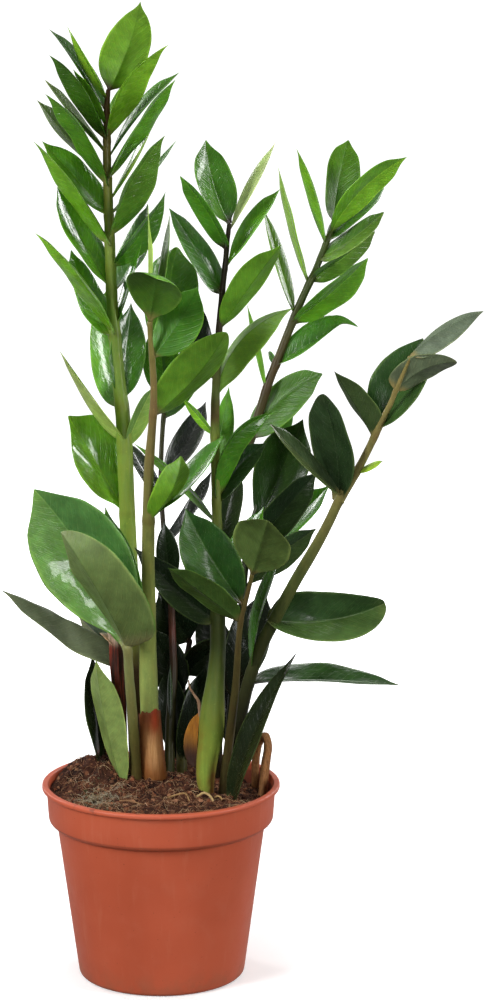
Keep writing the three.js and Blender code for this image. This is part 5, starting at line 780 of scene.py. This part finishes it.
# Leaflets low in the clump are duller; some narrow ones lie nearly flat.
DULL = ("c05", "d08", "d10", "d12", "d16", "f02", "f04", "f05", "f10", "f06", "g00", "g01", "g02", "h01", "h02", "h04", "h06", "h07", "h08",
        "h09", "h10", "a02", "a05", "a06", "a14", "e03", "d03", "a15", "r03", "f00", "i06", "i08", "j01", "j02", "j03", "j04", "j05", "j06", "b01", "b03", "f08", "f01")
CALM = ("a02", "a05", "a06", "a14", "a03", "a01", "e03", "e13", "d03", "r03", "r05", "r07", "f00", "f07", "a15", "e11", "d11", "i04", "h03")

def foot_shape(key, roots):
    rnd = random.Random(ord(key[0]) * 7 + 1)
    ph = [rnd.uniform(0, 6.28) for _ in range(4)]
    def fn(p, dirv, an, s, r):
        v = 0.10 * r * 0.35 * math.sin(3 * an + ph[0] + s * 3) + 0.035 * r * math.sin(7 * an + ph[1] + s * 5)
        v += 0.02 * r * math.sin(40 * s + ph[2])
        for q, dq in roots:
            dd = (p - q)
            dist = np.linalg.norm(dd)
            if dist < 9:
                v += 0.42 * math.exp(-(dist / 3.0) ** 2) * (0.45 + 0.55 * max(0.0, float(dirv.dot(dq))))
        return v
    return fn

nodes_of = {}
seed = 11
for key, line in STALKS.items():
    tone_fn = ramp(STALK_TONES[key])
    roots = [(np.array(r[1:4]), nrm(np.array(r[4:7]) - np.array(r[1:4]))) for r in LEAVES.get(key, [])]
    def colour(p, dirv, s, tf=tone_fn, roots=roots, key=key):
        c = tf(p[2]).copy()
        if key == "d":
            # a brown scar on the right of its swollen foot and rust along the left
            nz = 0.35 * math.sin(p[2] * 0.55 + dirv[1] * 3) + 0.25 * math.sin(p[2] * 1.7 + 2.0)
            k = smooth(0.02, 0.5, dirv[0] + 0.25 * nz) * (1 - smooth(142, 170, p[2] + 8 * nz)) * 0.88
            c = c * (1 - k) + srgb(98, 62, 32) * k
            k = smooth(0.45, 0.95, -dirv[0] + 0.2 * nz) * smooth(120, 132, p[2]) * (1 - smooth(172, 200, p[2])) * 0.5
            c = c * (1 - k) + srgb(120, 92, 34) * k
            k = smooth(0.55, 0.98, dirv[0]) * smooth(150, 165, p[2]) * (1 - smooth(200, 230, p[2])) * 0.45
            c = c * (1 - k) + srgb(84, 76, 34) * k
        for q, dq in roots:
            dist = abs(p[2] - q[2])
            if dist < 8:
                k = math.exp(-(dist / 2.2) ** 2) * 0.35
                c = c * (1 - k) + c * np.array([0.72, 0.60, 0.55]) * k
        return c
    ob = make_tube("frond_%s_stalk" % key, line, M_STALK, colour, 20, 2.6, foot_shape(key, roots))
    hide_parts("frond_%s" % key)
    ride(ob)

count = {}
for key, rows in LEAVES.items():
    for r in rows:
        seed += 1
        count[key] = count.get(key, 0) + 1
        up, un = LEAF_LOOK.get(r[0], FROND_LOOK[key])
        look = {"up": srgb(*up), "un": srgb(*un)}
        look.update(LEAF_EXTRA.get(r[0], {}))
        look["dull"] = r[0] in DULL
        if r[0] in CALM or r[10] < 24:
            look.setdefault("calm", 0.35)
        if key in STALKS:
            st = ramp(STALK_TONES[key])(r[3])
            piece = "frond_%s_leaflet_%02d" % (key, count[key])
        else:
            st = srgb(140, 150, 90)
            piece = "leaf_%s_blade" % key
        ob = make_leaf(piece, r, look, seed, st)
        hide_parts(("frond_%s" if key in STALKS else "leaf_%s") % key)
        ride(ob)

# ---------------------------------------------------------------- pot
POT_H, BASE_R, BODY_R, COL_Z, COL_LOW, COL_TOP, LIP_R, LIP_H, WALL, FLOOR = 141, 59.4, 74.5, 114, 80.3, 81.8, 85, 3.2, 1.8, 2.6
def rounded(points, steps=5):
    """Profile with its corners rounded: points are (r, z, radius)."""
    out = []
    n = len(points)
    for i, (r, z, rad) in enumerate(points):
        p = np.array([r, z], float)
        if rad <= 0 or i in (0, n - 1):
            out.append(p); continue
        a = np.array(points[i - 1][:2], float) - p
        b = np.array(points[i + 1][:2], float) - p
        la, lb = np.linalg.norm(a), np.linalg.norm(b)
        d = min(rad, la * 0.48, lb * 0.48)
        pa, pb = p + a / la * d, p + b / lb * d
        for k in range(steps + 1):
            t = k / steps
            out.append((1 - t) ** 2 * pa + 2 * t * (1 - t) * p + t * t * pb)
    return np.array(out)

prof = rounded([
    (0.0, 0.0, 0), (BASE_R, 0.0, 3.4), (BODY_R, COL_Z - 2.0, 1.2), (COL_LOW, COL_Z + 0.2, 3.0),
    (COL_TOP, POT_H - LIP_H - 0.3, 0.5), (LIP_R, POT_H - LIP_H, 0.9), (LIP_R, POT_H, 1.5),
    (COL_TOP - WALL + 0.6, POT_H, 0.8), (COL_LOW - WALL, COL_Z + 1.6, 1.5), (BODY_R - WALL, COL_Z - 3.4, 1.5),
    (BASE_R - WALL, FLOOR, 3.0), (0.0, FLOOR, 0)])
# finer steps on the long walls
fine = [prof[0]]
for a, b in zip(prof[:-1], prof[1:]):
    k = max(1, int(np.linalg.norm(b - a) / 6.0))
    for i in range(1, k + 1):
        fine.append(a + (b - a) * i / k)
prof = np.array(fine)
SEG = 144
verts, faces = [], []
rings = []
for r, z in prof:
    if r < 1e-6:
        rings.append([len(verts)]); verts.append((0, 0, z * MM)); continue
    row = []
    for k in range(SEG):
        a = 2 * math.pi * k / SEG
        oval = 1 + 0.0012 * math.cos(2 * a + 0.6)
        row.append(len(verts)); verts.append((r * oval * math.cos(a) * MM, r * oval * math.sin(a) * MM, z * MM))
    rings.append(row)
for a, b in zip(rings[:-1], rings[1:]):
    for k in range(SEG):
        l = (k + 1) % SEG
        if len(a) == 1:
            faces.append((a[0], b[l], b[k]))
        elif len(b) == 1:
            faces.append((a[k], a[l], b[0]))
        else:
            faces.append((a[k], a[l], b[l], b[k]))
pot = add_mesh("pot_shell", verts, faces, [M_POT])
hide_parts("pot")
ride(pot)

# ---------------------------------------------------------------- compost
def soil_top(x, y):
    c01 = lambda v: min(1.0, max(0.0, v))
    mound = 15.5 * math.exp(-(((x + 48) / 26) ** 2 + ((y - 34) / 24) ** 2))
    ridge = 5.5 * math.exp(-(((x + 8) / 34) ** 2 + ((y - 14) / 26) ** 2))
    dip = -8.5 * c01((x - 22) / 48) * c01((y + 40) / 60)
    front = 1.8 * c01((-y - 25) / 45)
    lumps = 1.1 * math.sin(0.21 * x + 0.7) * math.sin(0.19 * y + 1.9) + 0.7 * math.sin(0.43 * x - 0.31 * y)
    return 134 + mound + ridge + dip + front + lumps

def soil_fine(x, y):
    v = Vector((x, y, 0.0))
    z = soil_top(x, y)
    z += 1.7 * noise.noise(v * 0.11) + 1.3 * noise.noise(v * 0.27 + Vector((7, 3, 1)))
    z += 1.0 * noise.noise(v * 0.62 + Vector((1, 9, 4))) + 0.75 * noise.noise(v * 1.3) + 0.45 * noise.noise(v * 2.4)
    return z

verts, faces = [], []
NR, NS = 96, 300
R_IN = 79.4
top_rings = []
for i in range(NR + 1):
    rr = R_IN * i / NR
    if i == 0:
        top_rings.append([0]); verts.append((0, 0, soil_fine(0, 0) * MM)); continue
    row = []
    for k in range(NS):
        a = 2 * math.pi * k / NS
        x, y = rr * math.cos(a), rr * math.sin(a)
        row.append(len(verts)); verts.append((x * MM, y * MM, soil_fine(x, y) * MM))
    top_rings.append(row)
for r, z in ((79.0, 120), (77.8, 116.5), (72.0, 110.8), (57.5, 5.2), (55.5, 3.1)):
    row = []
    for k in range(NS):
        a = 2 * math.pi * k / NS
        row.append(len(verts)); verts.append((r * math.cos(a) * MM, r * math.sin(a) * MM, z * MM))
    top_rings.append(row)
top_rings.append([len(verts)]); verts.append((0, 0, 3.1 * MM))
for a, b in zip(top_rings[:-1], top_rings[1:]):
    for k in range(NS):
        l = (k + 1) % NS
        if len(a) == 1:
            faces.append((a[0], b[k], b[l]))
        elif len(b) == 1:
            faces.append((a[l], a[k], b[0]))
        else:
            faces.append((a[k], b[k], b[l], a[l]))
soil = add_mesh("compost_bed", verts, faces, [M_SOIL])
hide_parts("soil")
ride(soil)

def icosphere():
    t = (1 + 5 ** 0.5) / 2
    v = [(-1, t, 0), (1, t, 0), (-1, -t, 0), (1, -t, 0), (0, -1, t), (0, 1, t), (0, -1, -t), (0, 1, -t), (t, 0, -1), (t, 0, 1), (-t, 0, -1), (-t, 0, 1)]
    v = [nrm(np.array(p, float)) for p in v]
    f = [(0, 11, 5), (0, 5, 1), (0, 1, 7), (0, 7, 10), (0, 10, 11), (1, 5, 9), (5, 11, 4), (11, 10, 2), (10, 7, 6), (7, 1, 8), (3, 9, 4), (3, 4, 2), (3, 2, 6), (3, 6, 8), (3, 8, 9), (4, 9, 5), (2, 4, 11), (6, 2, 10), (8, 6, 7), (9, 8, 1)]
    mid = {}
    nf = []
    def m(a, b):
        k = (min(a, b), max(a, b))
        if k not in mid:
            mid[k] = len(v); v.append(nrm((v[a] + v[b]) / 2))
        return mid[k]
    for a, b, c in f:
        ab, bc, ca = m(a, b), m(b, c), m(c, a)
        nf += [(a, ab, ca), (b, bc, ab), (c, ca, bc), (ab, bc, ca)]
    return np.array(v), nf
ICO_V, ICO_F = icosphere()

def crumbs(piece, items, mat):
    verts, faces, col = [], [], []
    for (x, y, z, size, c, s) in items:
        rnd = random.Random(s)
        base = len(verts)
        ax = np.array([rnd.uniform(0.7, 1.3), rnd.uniform(0.7, 1.3), rnd.uniform(0.5, 0.95)])
        a, b = rnd.uniform(0, 6.28), rnd.uniform(0, 6.28)
        ca, sa = math.cos(a), math.sin(a)
        off = Vector((rnd.uniform(-50, 50), rnd.uniform(-50, 50), rnd.uniform(-50, 50)))
        for p in ICO_V:
            k = 1 + 0.55 * noise.noise(Vector(p) * 1.6 + off) + 0.25 * noise.noise(Vector(p) * 3.7 + off)
            q = p * ax * size * k
            q = np.array([ca * q[0] - sa * q[1], sa * q[0] + ca * q[1], q[2]])
            q = np.array([q[0], math.cos(b) * q[1] - math.sin(b) * q[2], math.sin(b) * q[1] + math.cos(b) * q[2]])
            verts.append((np.array([x, y, z]) + q) * MM)
            col.append(c)
        faces += [tuple(base + i for i in f) for f in ICO_F]
    ob = add_mesh(piece, verts, faces, [mat], None, None, col, smooth_shade=False)
    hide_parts("soil")
    return ride(ob)

rnd = random.Random(5)
FEET = [(l[1][0], l[1][1], l[1][3]) for l in STALKS.values()] + [(STUB[1][0], STUB[1][1], 2.9), (ROOT[1][0], ROOT[1][1], 3), (ROOT[-2][0], ROOT[-2][1], 3)]
def clear(x, y, s):
    return all((x - a) ** 2 + (y - b) ** 2 > (c + s * 0.9) ** 2 for a, b, c in FEET)
BROWNS = [(128, 82, 58), (150, 100, 72), (100, 60, 42), (72, 42, 30), (172, 124, 92), (136, 80, 54), (112, 78, 58)]
items = []
while len(items) < 2300:
    a, rr = rnd.uniform(0, 6.28), 77.5 * math.sqrt(rnd.random())
    x, y = rr * math.cos(a), rr * math.sin(a)
    s = 0.28 + 1.15 * rnd.random() ** 3.0
    if rr + s > 78.6 or not clear(x, y, s):
        continue
    c = srgb(*BROWNS[rnd.randrange(len(BROWNS))]) * rnd.uniform(0.7, 1.15)
    items.append((x, y, soil_fine(x, y) + s * rnd.uniform(0.0, 0.55), s, c, rnd.randrange(10 ** 6)))
crumbs("compost_crumbs", items, M_CRUMB)
# pale mossy patch, left front
items = []
while len(items) < 520:
    x, y = rnd.gauss(-44, 8.5), rnd.gauss(-24, 15)
    if x * x + y * y > 74 ** 2 or not clear(x, y, 1.2):
        continue
    s = 0.25 + 0.6 * rnd.random() ** 2
    c = srgb(*[(146, 128, 98), (104, 94, 66), (176, 156, 120), (72, 72, 46), (56, 44, 32)][rnd.randrange(5)]) * rnd.uniform(0.6, 1.0)
    items.append((x, y, soil_fine(x, y) + s * rnd.uniform(0.4, 1.0), s, c, rnd.randrange(10 ** 6)))
crumbs("moss_flecks", items, M_CRUMB)

def strands(piece, specs, mat, sides=5):
    verts, faces, col = [], [], []
    for line, c in specs:
        P = catmull(line, 3)
        base = len(verts)
        prev = None
        for i in range(len(P)):
            t = nrm(P[min(i + 1, len(P) - 1)][:3] - P[max(i - 1, 0)][:3])
            ref = prev if prev is not None else (np.array([0, 0, 1.0]) if abs(t[2]) < 0.9 else np.array([1.0, 0, 0]))
            x = nrm(ref - ref.dot(t) * t); prev = x
            y = np.cross(t, x)
            for k in range(sides):
                a = 2 * math.pi * k / sides
                verts.append((P[i][:3] + P[i][3] * (math.cos(a) * x + math.sin(a) * y)) * MM)
                col.append(c)
        n = len(P)
        for i in range(n - 1):
            for k in range(sides):
                l = (k + 1) % sides
                faces.append((base + i * sides + k, base + i * sides + l, base + (i + 1) * sides + l, base + (i + 1) * sides + k))
        faces.append(tuple(base + k for k in range(sides - 1, -1, -1)))
        faces.append(tuple(base + (n - 1) * sides + k for k in range(sides)))
    ob = add_mesh(piece, verts, faces, [mat], None, None, col)
    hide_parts("soil")
    return ride(ob)

specs = []
for i in range(1750):
    a, rr = rnd.uniform(0, 6.28), 75 * math.sqrt(rnd.random())
    x, y = rr * math.cos(a), rr * math.sin(a)
    if i % 9 == 0:
        x, y = rnd.gauss(-42, 9), rnd.gauss(-26, 14)
    ln = rnd.uniform(2.5, 9) if rnd.random() < 0.86 else rnd.uniform(9, 20)
    th = rnd.uniform(0, 6.28)
    cur = rnd.uniform(-0.16, 0.16)
    pts = []
    rad = rnd.uniform(0.07, 0.20)
    arch = rnd.uniform(0.1, 1.8)
    ok = True
    for k in range(6):
        s = k / 5
        th2 = th + cur * ln * (s - 0.5)
        px = x + math.cos(th2) * ln * (s - 0.5)
        py = y + math.sin(th2) * ln * (s - 0.5)
        if px * px + py * py > 77.8 ** 2 or not clear(px, py, 0.5):
            ok = False; break
        pts.append([px, py, soil_fine(px, py) + 0.25 + arch * math.sin(math.pi * s), rad * (1 - 0.5 * s)])
    if ok:
        c = srgb(*[(196, 150, 108), (176, 128, 92), (136, 86, 60), (222, 188, 146), (158, 104, 72), (112, 68, 48)][rnd.randrange(6)]) * rnd.uniform(0.75, 1.15)
        if i % 9 == 0:
            c = srgb(196, 188, 160) * rnd.uniform(0.5, 1.1)
        specs.append((pts, c))
strands("compost_fibres", specs, M_FIBRE, 3)

# pale roots that loop out of the compost
def pr(x, y, dz, r):
    return [x, y, soil_fine(x, y) + dz, r]
specs = [
    ([pr(2, -18, -1, 0.6), pr(5, -19, 1.2, 0.62), pr(12, -20, 2.6, 0.62), pr(18, -22, 1.6, 0.58), pr(21, -25, -1, 0.5)], srgb(176, 140, 92)),
    ([pr(26, -14, -1, 0.8), pr(27, -17, 3.0, 0.85), pr(31, -20, 5.0, 0.85), pr(36, -21, 3.6, 0.8), pr(38, -23, -0.6, 0.7)], srgb(214, 184, 128)),
    ([pr(38, -14, -1, 0.55), pr(40, -17, 2.6, 0.6), pr(43, -19, 1.8, 0.55), pr(44, -22, -0.8, 0.5)], srgb(196, 160, 104)),
    ([pr(-30, -30, -0.8, 0.4), pr(-22, -34, 1.8, 0.45), pr(-12, -36, 1.4, 0.4), pr(-6, -34, -0.6, 0.35)], srgb(168, 128, 88)),
]
strands("pale_roots", specs, M_FIBRE, 8)

# ---------------------------------------------------------------- sheath, scale, stub, root
line_b = STALKS["b"]
fine_b = catmull(line_b, 10)
def at_z(z):
    k = int(np.argmin(np.abs(fine_b[:, 2] - z)))
    return fine_b[k]
def sheath():
    sides, rows = 56, 26
    z0, z1 = 138.5, 190.0
    rndl = random.Random(3)
    rag = [rndl.uniform(-1, 1) for _ in range(sides)]
    verts, faces, col = [], [], []
    def top_z(k):
        a = 2 * math.pi * k / sides
        return z1 - 1.0 + 3.4 * math.cos(a + math.radians(62)) + 1.1 * math.sin(5 * a) + 0.9 * rag[k]
    grid = {}
    for layer in (0, 1):
        for i in range(rows + 1):
            s = i / rows
            for k in range(sides):
                a = 2 * math.pi * k / sides
                z = z0 + (top_z(k) - z0) * s
                c = at_z(z)
                swell = 1.5 * (1 - s) ** 1.2
                ridge = 0.16 * math.sin(11 * a + 1.5 * math.sin(4 * s)) + 0.10 * math.sin(23 * a + 2)
                r = c[3] + 0.42 + (0.0 if layer == 0 else 0.42 + swell + ridge * (0.4 + 0.6 * (1 - s)) + 0.35 * (1 + math.sin(2 * a + 1)) * s)
                grid[layer, i, k] = len(verts)
                verts.append(np.array([c[0] + r * math.cos(a), c[1] + r * math.sin(a), z]) * MM)
                # a painted highlight in cream where it faces front, golden brown low down, red-brown towards the ragged
                # edge
                def near(deg, width):
                    dd = (math.degrees(a) - deg + 180) % 360 - 180
                    return math.exp(-(dd / width) ** 2)
                base = srgb(150, 92, 48)
                # painted highlight: cream on the front face
                k = near(-78, 42) * math.exp(-((s - 0.46) / 0.30) ** 2)
                base = base * (1 - k) + srgb(208, 160, 106) * k
                k = 1 - smooth(0.0, 0.30, s)
                base = base * (1 - 0.8 * k) + srgb(132, 82, 36) * 0.8 * k
                k = smooth(0.62, 0.95, s)
                base = base * (1 - k) + srgb(134, 78, 44) * k
                k = near(-58, 26) * smooth(0.55, 0.85, s)
                base = base * (1 - k) + srgb(172, 70, 38) * k
                base = base * (1 - 0.5 * near(190, 42))
                col.append(base)
    for i in range(rows):
        for k in range(sides):
            l = (k + 1) % sides
            faces.append((grid[1, i, k], grid[1, i, l], grid[1, i + 1, l], grid[1, i + 1, k]))
            faces.append((grid[0, i, l], grid[0, i, k], grid[0, i + 1, k], grid[0, i + 1, l]))
    for k in range(sides):
        l = (k + 1) % sides
        faces.append((grid[1, rows, k], grid[1, rows, l], grid[0, rows, l], grid[0, rows, k]))
        faces.append((grid[0, 0, k], grid[0, 0, l], grid[1, 0, l], grid[1, 0, k]))
    ob = add_mesh("sheath_wrap", verts, faces, [M_SHEATH], None, None, col)
    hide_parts("sheath_b")
    ride(ob)
sheath()

SCALE = ["scale", 24.6, 4.8, 150, 28.2, 5.0, 192, -0.45, -0.89, 0.02, 11.5, -4.5, 0.5, 0, 16, 0.8, 0.8, 0, 0, 0, 0, 0]
M_UP_SAVE, M_UN_SAVE = M_UP, M_UN
M_UP = M_UN = M_SCALE
ob = make_leaf("scale_blade", SCALE, {"up": srgb(158, 104, 28), "un": srgb(150, 92, 28), "low": ((58, 36, 26), 0.18, 0.72), "half_shade": 0.0}, 901, srgb(60, 38, 26))
M_UP, M_UN = M_UP_SAVE, M_UN_SAVE
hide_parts("scale_d")
ride(ob)
TIP = [[27.9, 5, 184, 0.9], [28, 5.1, 191, 1.1], [26.8, 5.4, 199, 1.1], [23.6, 5.8, 204, 1], [20.6, 6.2, 209, 0.9], [20, 6.4, 214, 0.5]]
ob = make_tube("scale_dry_tip", TIP, M_SCALE, lambda p, d, s: srgb(150, 120, 96) * (0.9 + 0.4 * s), 10, 1.2,
               lambda p, d, an, s, r: 0.25 * r * math.sin(2 * an + 6 * s))
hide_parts("scale_d")
ride(ob)

def stub_shape(p, d, an, s, r):
    v = 0.14 * r * math.sin(5 * an + 3 * s) + 0.10 * r * math.sin(9 * an - 7 * s) - 0.10 * r * math.sin(2 * an)
    if s > 0.9:
        v += 0.35 * r * (s - 0.9) / 0.1 * math.sin(4 * an + 1)
    return v
def stub_tone(p, d, s):
    v = noise.noise(Vector((float(d[0]) * 3.2, float(d[1]) * 3.2, float(p[2]) * 0.03)))
    k = smooth(-0.15, 0.45, v)
    c = srgb(56, 32, 24) * (1 - k) + srgb(140, 56, 38) * k
    e = smooth(0.91, 0.96, s)
    return c * (1 - e) + srgb(186, 164, 140) * e
ob = make_tube("dead_stub_stalk", STUB, M_STUB,
               stub_tone, 28, 1.8, stub_shape)
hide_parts("dead_stub")
ride(ob)
FLAP = ["flap", -32.4, 11.2, 238, -43.5, 8.5, 248, 0.5, -0.5, 0.7, 6, 0, 0, 1.5, 8, 0.8, 0.7, 20, 0, 0, 0, 0]
M_UP = M_UN = M_SCALE
ob = make_leaf("dead_stub_flap", FLAP, {"up": srgb(188, 168, 140), "un": srgb(150, 124, 96)}, 902, srgb(120, 80, 60))
M_UP, M_UN = M_UP_SAVE, M_UN_SAVE
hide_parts("dead_stub")
ride(ob)

def root_shape(p, d, an, s, r):
    return 0.10 * r * math.sin(4 * an + 9 * s) + 0.07 * r * math.sin(26 * s) + 0.05 * r * math.sin(8 * an + 40 * s)
# painted light: the root skin is lighter on the side that faces the front
ob = make_tube("arching_root_skin", ROOT, M_ROOT,
               lambda p, d, s: srgb(150, 104, 62) * (0.75 + 0.35 * max(0.0, -d[1])), 18, 1.3, root_shape)
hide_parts("arching_root")
ride(ob)

# ---------------------------------------------------------------- floor, light, camera
def white_material(name, near, far, r0, r1, albedo):
    n = Nodes(name)
    P = n.obj()
    dist = n.new("ShaderNodeVectorMath", operation="LENGTH")
    n.link(P, dist.inputs[0])
    g = n.noise(P, 3.0, 3.0, 0.5)
    n.link(n.mix(g, (albedo, albedo, albedo, 1), (albedo + 0.03, albedo + 0.03, albedo + 0.03, 1)), n.bsdf.inputs["Base Color"])
    n.bsdf.inputs["Roughness"].default_value = 0.9
    n.bsdf.inputs["Specular IOR Level"].default_value = 0.1
    n.bsdf.inputs["Emission Color"].default_value = (1, 1, 1, 1)
    n.link(n.rng(dist.outputs["Value"], r0, r1, near, far), n.bsdf.inputs["Emission Strength"])
    return n.m

def lathe_stage(name, profile, mat, seg=72, flip=False):
    verts, faces, rows = [], [], []
    for r, z in profile:
        if r == 0:
            rows.append([len(verts)]); verts.append((0, 0, z)); continue
        row = []
        for k in range(seg):
            a = 2 * math.pi * k / seg
            row.append(len(verts)); verts.append((r * math.cos(a), r * math.sin(a), z))
        rows.append(row)
    for a, b in zip(rows[:-1], rows[1:]):
        for k in range(seg):
            l = (k + 1) % seg
            if len(a) == 1:
                faces.append((a[0], b[l], b[k]) if flip else (a[0], b[k], b[l]))
            elif len(b) == 1:
                faces.append((a[k], a[l], b[0]))
            else:
                faces.append((a[k], b[k], b[l], a[l]) if not flip else (a[k], a[l], b[l], b[k]))
    ob = add_mesh(name, verts, faces, [mat])
    return ob

floor = lathe_stage("studio_floor", [(0.0, 0.0), (0.25, 0.0), (0.6, 0.0), (1.2, 0.0), (2.0, 0.0)],
                    white_material("studio_white", 0.30, 1.3, 0.35, 1.2, 0.84))
surround = lathe_stage("studio_surround", [(0.0, -14.0)] + [(18 * math.sin(t), -18 * math.cos(t) + 4) for t in np.linspace(0.15, math.pi - 0.15, 24)] + [(0.0, 22.0)],
                       white_material("studio_surround", 1.2, 1.2, 0.0, 1.0, 0.1))
for ob in (floor, surround):
    ob.visible_glossy = False
    ob.visible_diffuse = False
    ob.visible_transmission = False
surround.visible_shadow = False

world = bpy.data.worlds.new("studio")
bpy.context.scene.world = world
world.use_nodes = True
wt = world.node_tree
bg = wt.nodes["Background"]
tc = wt.nodes.new("ShaderNodeTexCoord")
sx = wt.nodes.new("ShaderNodeSeparateXYZ")
wt.links.new(tc.outputs["Generated"], sx.inputs[0])
def wmap(sock, vals):
    m = wt.nodes.new("ShaderNodeMapRange")
    m.interpolation_type = "SMOOTHSTEP"
    for i, v in enumerate(vals):
        m.inputs[1 + i].default_value = v
    wt.links.new(sock, m.inputs[0])
    return m.outputs[0]
up = wmap(sx.outputs[2], (-0.5, 0.8, 0.10, 0.30))
back = wmap(sx.outputs[1], (0.0, 0.9, 0.0, 0.28))
sm = wt.nodes.new("ShaderNodeMath")
sm.operation = "ADD"
wt.links.new(up, sm.inputs[0])
wt.links.new(back, sm.inputs[1])
wt.links.new(sm.outputs[0], bg.inputs[1])
bg.inputs[0].default_value = (1, 1, 1, 1)

def area(name, loc, target, size, radiance, size_y=None, colour=(1, 1, 1)):
    d = bpy.data.lights.new(name, "AREA")
    d.shape = "RECTANGLE"
    d.size = size
    d.size_y = size_y or size
    d.energy = radiance * d.size * d.size_y * math.pi
    d.color = colour
    o = bpy.data.objects.new(name, d)
    bpy.context.scene.collection.objects.link(o)
    o.location = loc
    o.rotation_euler = (Vector(target) - Vector(loc)).to_track_quat("-Z", "Y").to_euler()
    o.visible_camera = False
    return o
area("key_left", (-1.35, -1.13, 1.13), (0, 0, 0.42), 0.5, 20, 0.9)
area("front_right", (0.67, -2.18, 0.74), (0, 0, 0.4), 0.30, 20, 0.5)
area("front_left", (-0.25, -2.5, 0.35), (0, 0, 0.4), 0.3, 14, 0.4)
area("side_right", (1.63, -0.66, 0.80), (0, 0, 0.42), 0.35, 15, 1.0)
area("top", (-0.15, 0.1, 2.2), (0, 0, 0.4), 0.7, 13, 0.5)
area("back_left", (-1.23, 1.37, 0.95), (0, 0, 0.45), 0.32, 11, 1.0)
area("back_right", (1.23, 1.37, 0.90), (0, 0, 0.45), 0.32, 11, 1.0)

cam_data = bpy.data.cameras.new("camera")
cam_data.lens = 3184.7 / 1000 * 36
cam_data.sensor_width = 36
cam_data.sensor_fit = "AUTO"
cam_data.clip_start = 0.05
cam = bpy.data.objects.new("camera", cam_data)
bpy.context.scene.collection.objects.link(cam)
cam.location = (0.058, -2.2, 0.7775)
cam.rotation_euler = (math.radians(90 - 11.085), 0, 0)
bpy.context.scene.camera = cam
bpy.context.scene.view_settings.view_transform = "Standard"
